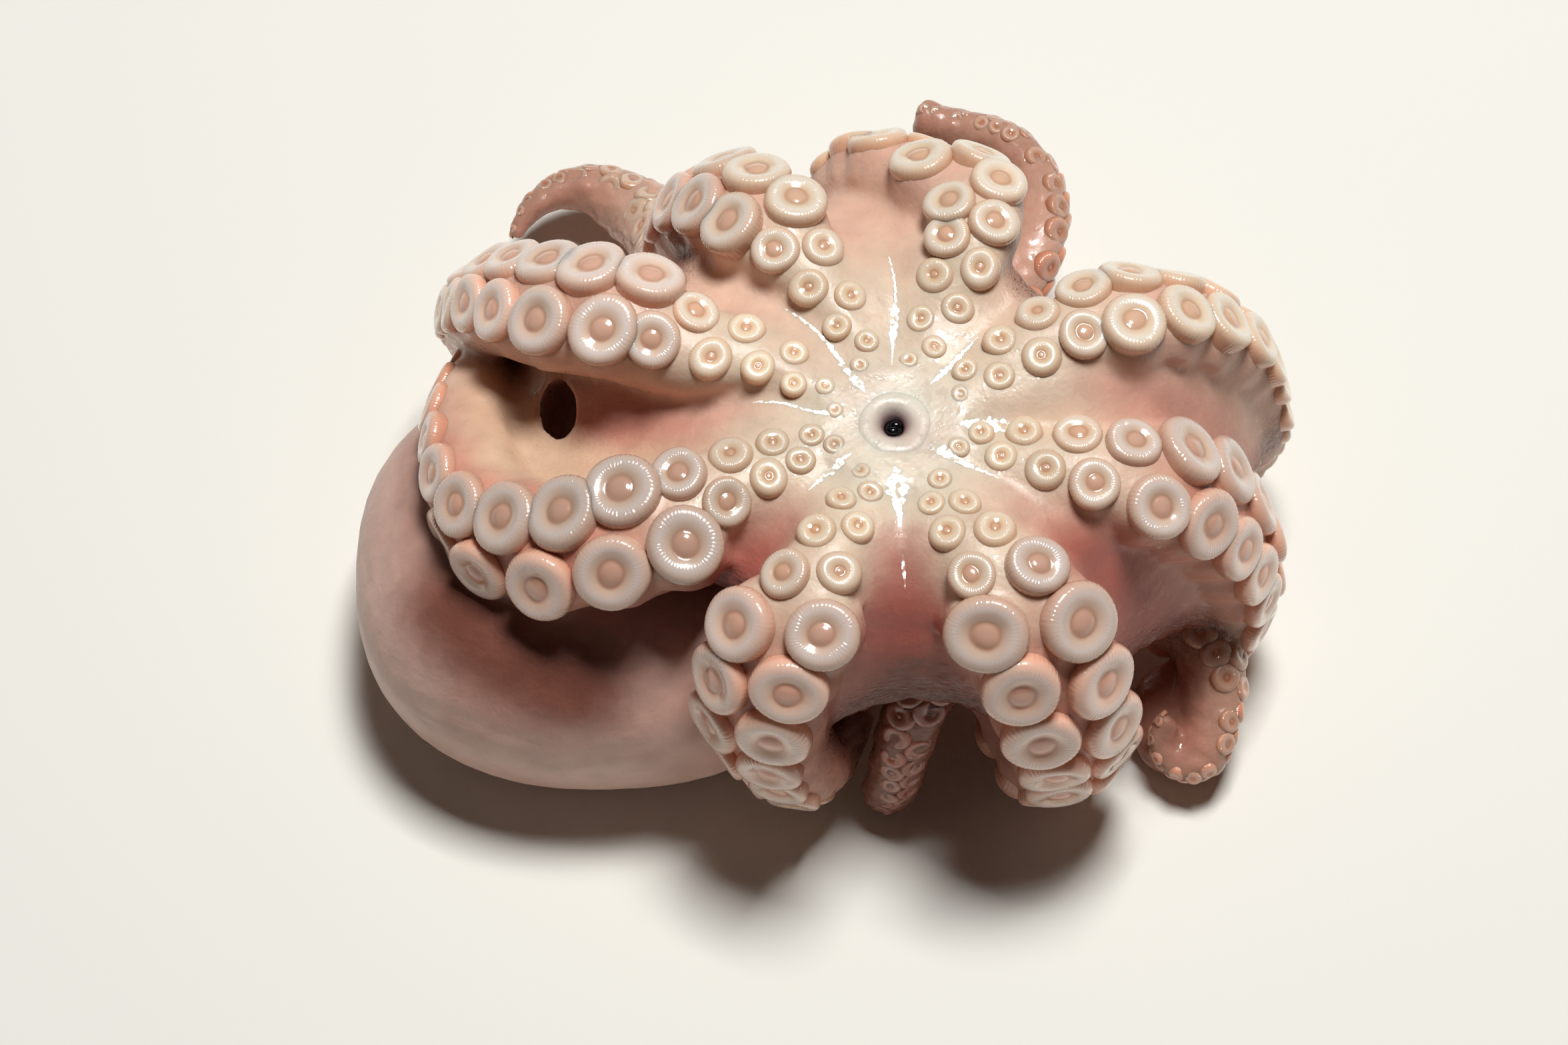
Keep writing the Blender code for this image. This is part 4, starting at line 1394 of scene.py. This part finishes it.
@dataclass
class Suckers(Piece):
    """Every sucker of one tier, joined in one mesh."""

    suckers: list[Sucker]
    tier: Tier
    slot: ClassVar[str] = "suckers"
    ovalness: float = 0.025
    leaning: float = 0.05
    hump: float = 3.5
    cream: str = "#E6D4BE"
    milk: str = "#DACBC3"
    tan: str = "#C79F8B"
    ivory: str = "#EADFD0"
    # Painted light: how much lighter a sucker turned away from the light is made, standing in for fill light.
    painted_fill_light: Point = (0.4, 0.24, 0.22)
    by_arm: ClassVar[dict[str, float]] = {"west_back": 1.14, "west_front": 0.92}
    # Painted shade: suckers on the front right arm's tail inside the arch are darkened.
    shade_in_arch: Point = (0.6, 0.44, 0.42)
    arch_from: float = 92.0
    light: Point = (0.1, 0.18, 0.98)
    unevenness: ClassVar[dict[Tier, float]] = {Tier.LARGE: 0.21, Tier.MEDIUM: 0.12, Tier.SMALL: 0.072}

    def template(self) -> Mesh:
        """Spin the section into one closed-topped sucker of diameter one, with its layout map."""
        section = SECTIONS[self.tier]
        bm = bmesh.new()
        share = bm.verts.layers.float.new("share")
        verts = [bm.verts.new((radius, 0.0, height)) for radius, height in section.points]
        for vert, value in zip(verts, section.shares()):
            vert[share] = value
        spin_section(bm, verts, section.sides)
        layout = bm.loops.layers.uv.new("section")
        for face in bm.faces:
            middle = face.calc_center_median()
            about = math.atan2(middle.y, middle.x)
            for loop in face.loops:
                x, y = loop.vert.co.x, loop.vert.co.y
                turn = math.atan2(y, x) if x * x + y * y > 1e-8 else about
                turn = about + (turn - about + math.pi) % math.tau - math.pi
                loop[layout].uv = (turn / math.tau, loop.vert[share])
        mesh = bpy.data.meshes.new("sucker")
        bm.to_mesh(mesh)
        bm.free()
        return mesh

    def build(self) -> Object:
        """Set a copy of the template at each sucker's place, no two quite alike."""
        rng = np.random.default_rng(SEED + len(self.suckers))
        template = self.template()
        bm = bmesh.new()
        tones: list[Array] = []
        for sucker in self.suckers:
            start = len(bm.verts)
            bm.from_mesh(template)
            bm.verts.ensure_lookup_table()
            fresh = bm.verts[start:]
            oval, lean = 1.0 + rng.normal(0.0, self.ovalness), rng.normal(0.0, self.leaning, 3)
            turn = (Vector(sucker.facing) + Vector(lean)).to_track_quat("Z", "Y")
            matrix = (Matrix.Translation(Vector(sucker.rim)) @ turn.to_matrix().to_4x4()
                      @ Matrix.Rotation(rng.uniform(0.0, math.tau), 4, "Z")
                      @ Matrix.Diagonal((oval, 1.0 / oval, 1.0, 1.0)) @ Matrix.Scale(sucker.diameter, 4))
            bmesh.ops.transform(bm, matrix=matrix, verts=fresh)
            tones += [self.tone_of(sucker, rng.normal(0.0, 1.0))] * len(fresh)
        made = finish_mesh(bm, "%s_suckers" % self.tier.name.lower())
        bpy.data.meshes.remove(template)
        places = corners(made.data)
        put_corners(made.data, places + wobble(places, self.hump) * self.unevenness[self.tier])
        store(made.data, "tone", np.array(tones))
        add_modifier(made, "SUBSURF", levels=1, render_levels=1)
        return made

    def tone_of(self, sucker: Sucker, chance: float) -> Array:
        """Yellow cream near the mouth, milky when full grown, ivory on the back arms, tan at the tips;
        lighter where turned away from the light, as painted light, and darker in the arch, as painted shade.

        Args:
            sucker: the sucker.
            chance: a small drawn difference.

        Returns:
            Its linear colour.
        """
        grown = float(ease(sucker.diameter, 4.4, 7.0))
        far = float(ease(sucker.distance, 55.0, 90.0))
        at_back = float(ease(sucker.rim[1], 2.0, 12.0) * ease(sucker.rim[0], -24.0, -12.0))
        at_back = at_back * (1 - far) * grown
        away = 1 - float(ease(sucker.facing @ self.light, 0.1, 0.8))
        mixed = tone(self.cream) * (1 - grown) + tone(self.milk) * grown
        mixed = mixed * (1 - far) + tone(self.tan) * far
        mixed = mixed * (1 - at_back) + tone(self.ivory) * at_back
        # Painted light: the further a sucker turns from the light, the lighter it is made.
        mixed = mixed * (1.0 + 0.03 * chance + away * np.array(self.painted_fill_light))
        mixed = mixed * self.by_arm.get(sucker.arm, 1.0)
        # Painted shade inside the arch.
        if sucker.arm == "front_right" and sucker.distance > self.arch_from:
            mixed = mixed * self.shade_in_arch
        return np.clip(mixed, 0.0, 1.0)


@dataclass
class Lip(Piece):
    """The smooth bluish-white ring round the mouth, rolling in to a dark throat."""

    section: Knots = (
        (0.95, -3.2), (1.0, -1.9), (1.15, -1.1), (1.45, -0.62), (1.95, -0.25), (2.5, -0.06), (3.1, 0.0),
        (3.7, -0.1), (4.3, -0.36), (4.8, -0.8))
    sides: int = 40
    hump: float = 2.4
    uneven: Point = (0.22, 0.22, 0.12)

    def build(self) -> Object:
        """Spin the section round the mouth and leave it slightly out of round."""
        bm = bmesh.new()
        verts = [bm.verts.new((radius, 0.0, MOUTH_HEIGHT + 0.1 + height)) for radius, height in self.section]
        spin_section(bm, verts, self.sides)
        ring = finish_mesh(bm, "lip")
        places = corners(ring.data)
        put_corners(ring.data, places + wobble(places, self.hump) * self.uneven)
        add_modifier(ring, "SUBSURF", levels=1, render_levels=1)
        apply_modifiers(ring)
        ring.data.shade_smooth()
        return ring


@dataclass
class Beak(Piece):
    """The horn beak: two blunt dark lobes low in the throat, the lower over the upper."""

    slot: ClassVar[str] = "beak"
    lobes: tuple[tuple[Point, Point], ...] = (
        ((0.0, 0.0, -2.0), (1.3, 1.3, 0.8)),
        ((-0.1, -0.4, -1.35), (0.85, 0.55, 0.5)),
        ((0.25, 0.35, -1.4), (0.75, 0.55, 0.5)),
    )

    def build(self) -> Object:
        """Fill the throat with dark horn."""
        bm = bmesh.new()
        for place, size in self.lobes:
            centre = Vector(place) + Vector((0.0, 0.0, MOUTH_HEIGHT + 0.1))
            bmesh.ops.create_uvsphere(bm, u_segments=28, v_segments=16, radius=1.0,
                                      matrix=Matrix.Translation(centre) @ Matrix.Diagonal((*size, 1.0)))
        return finish_mesh(bm, "beak")


@dataclass
class Broth(Piece):
    """Cooking liquid that stands in the folds round the mouth, smooth enough to mirror the light."""

    drape: Drape
    skin: Object
    across: int = 8
    along: int = 72
    proud: float = 0.07
    tilt: Point = (0.036, -0.164, 0.986)
    unrest: Point = (0.17, 0.17, 0.0)
    wavelet: float = 0.8
    ragged: float = 1.1

    def build(self) -> Object:
        """Lay a narrow uneven film in each fold.

        Returns:
            All films in one mesh.
        """
        graph = bpy.context.evaluated_depsgraph_get()
        ground = BVHTree.FromObject(self.skin, graph)
        bm = bmesh.new()
        for n, web in enumerate(WEBS):
            self.add_film(bm, web, ground, 5.0 * n)
        for face in bm.faces:
            face.normal_update()
            if face.normal.z < 0:
                face.normal_flip()
        film = finish_mesh(bm, "broth")
        unrest = wobble(corners(film.data), self.wavelet) * self.unrest
        film.data.normals_split_custom_set_from_vertices(np.array(self.tilt) + unrest)
        return film

    def add_film(self, bm: BMesh, web: Web, ground: BVHTree, shift: float) -> None:
        """Lay the film of one fold.

        Args:
            bm: the bmesh that takes it.
            web: the web with the fold.
            ground: the skin.
            shift: moves the unevenness, so that no two films are alike.
        """
        line = [self.drape.place(web, web.crease, along)[0] for along in np.linspace(0.0, 0.8, 500)]
        path = np.array(line)
        gone = np.hypot(path[:, 0], path[:, 1])
        reach = np.linspace(web.film[0][0], web.film[-1][0], self.along + 1)
        path = np.stack([np.interp(reach, gone, axis) for axis in path.T], axis=1)
        ahead = np.gradient(path[:, :2], axis=0)
        side = np.stack([-ahead[:, 1], ahead[:, 0]], axis=1) / np.linalg.norm(ahead, axis=1)[:, None]
        width = np.interp(reach, [knot[0] for knot in web.film], [knot[1] for knot in web.film])

        def place(across: float, along: float) -> Vector:
            """A corner of the film."""
            i = round(along * self.along)
            edge = 2 * across - 1
            bank = Vector((reach[i] * 2.1, math.copysign(3.0, edge), shift))
            uneven = 1.0 + self.ragged * noise.noise(bank)
            x, y = path[i, :2] + side[i] * width[i] * edge * uneven
            return Vector((x, y, self.height(ground, x, y) + self.proud * (1.0 - 0.8 * abs(edge))))

        verts = lay_grid(bm, self.across, self.along, place)
        bmesh.ops.smooth_vert(bm, verts=verts, factor=0.5, use_axis_z=True)

    @staticmethod
    def height(ground: BVHTree, x: float, y: float) -> float:
        """How high the skin is under a place."""
        hit = ground.ray_cast(Vector((x, y, 80.0)), Vector((0.0, 0.0, -1.0)))[0]
        return hit.z if hit else MOUTH_HEIGHT


# The setting.


@dataclass
class Setting:
    """Floor, light and camera, placed as in the photograph."""

    camera_mm: Point = (-11.67, -194.1, 386.4)
    pitch: float = 28.0
    lens: float = 85.0
    sensor: float = 36.0
    light_from: Point = (0.10, 0.19, 1.0)
    light_distance: float = 0.9
    light_size: float = 0.24
    light_watts: float = 8.3
    fill: float = 0.016

    def add_floor(self) -> None:
        """Lay a wide pale board under the octopus."""
        bm = bmesh.new()
        bmesh.ops.create_grid(bm, x_segments=1, y_segments=1, size=3.0)
        floor = finish_mesh(bm, "floor")
        floor.data.materials.append(PaleBoard().make())

    def add_camera(self) -> None:
        """Stand the camera where the photograph was taken from."""
        data = bpy.data.cameras.new("camera")
        data.lens, data.sensor_width, data.clip_start = self.lens, self.sensor, 0.01
        camera = bpy.data.objects.new("camera", data)
        camera.location = (Vector(self.camera_mm) + Vector(MOUTH_IN_FRAME)) * MILLIMETRE
        camera.rotation_euler = (math.radians(self.pitch), 0.0, 0.0)
        bpy.context.scene.collection.objects.link(camera)
        bpy.context.scene.camera = camera

    def add_light(self) -> None:
        """Hang one soft light behind and above, and leave a weak even fill."""
        data = bpy.data.lights.new("softbox", "AREA")
        data.shape, data.size, data.energy = "SQUARE", self.light_size, self.light_watts
        data.color = (1.0, 1.0, 0.99)
        light = bpy.data.objects.new("softbox", data)
        direction = Vector(self.light_from).normalized()
        light.location = direction * self.light_distance
        light.rotation_euler = direction.to_track_quat("Z", "Y").to_euler()
        bpy.context.scene.collection.objects.link(light)
        world = bpy.data.worlds.new("studio")
        world.use_nodes = True
        sky = world.node_tree.nodes["Background"]
        sky.inputs["Color"].default_value = (0.97, 0.99, 1.0, 1.0)
        sky.inputs["Strength"].default_value = self.fill
        bpy.context.scene.world = world
        bpy.context.scene.view_settings.view_transform = "Standard"

    def build(self) -> None:
        """Lay out the whole setting."""
        self.add_floor()
        self.add_camera()
        self.add_light()


def settle(piece: Object, finish: Material, slot: str) -> None:
    """Dress a finished piece, bring it to the frame and let it ride.

    Args:
        piece: the piece, in millimetres about the mouth.
        finish: its material.
        slot: not used.
    """
    piece.data.materials.clear()
    piece.data.materials.append(finish)
    set_in_frame(piece)
    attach(piece, "root")
    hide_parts(NODE)
    log.info("%s: %d faces", piece.name, len(piece.data.polygons))


def colour_in(piece: Object, drape: Drape, suckers: list[Sucker]) -> None:
    """Give a piece of flesh its tones and marks."""
    tones, marks = Complexion().read(Survey.take(corners(piece.data), drape, suckers))
    store(piece.data, "tone", soften(piece.data, tones, 10))
    store(piece.data, "marks", soften(piece.data, marks, 3))


def main() -> None:
    """Build every piece in order and note the sizes."""
    logging.basicConfig(level=logging.INFO, format="%(name)s %(message)s")
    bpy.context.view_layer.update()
    routes = {name: Route.walk(arm) for name, arm in ARMS.items()}
    drape = Drape(routes)
    rule = SuckerRule()
    suckers = [s for name, route in routes.items() for s in rule.rows(name, route) if s.rim[2] > 0.5]
    flesh, lips = Flesh(drape, suckers), Lip()
    skin, ring = flesh.build(), lips.build()
    broth = Broth(drape, skin)
    films = broth.build()
    blanched = CookedFlesh().make()
    for part, piece, finish in ((flesh, skin, blanched), (lips, ring, blanched),
                                (broth, films, StandingBroth().make())):
        colour_in(piece, drape, suckers)
        part.dress(piece, finish)
    muscle = SuckerMuscle().make()
    for tier in Tier:
        smaller = [other.value for other in Tier if other.value > tier.value]
        chosen = [s for s in suckers if tier.value <= s.diameter < min(smaller, default=math.inf)]
        rows = Suckers(chosen, tier)
        rows.dress(rows.build(), muscle)
    beak = Beak()
    beak.dress(beak.build(), BlackHorn().make())
    Setting().build()


if __name__ == "__main__":
    main()
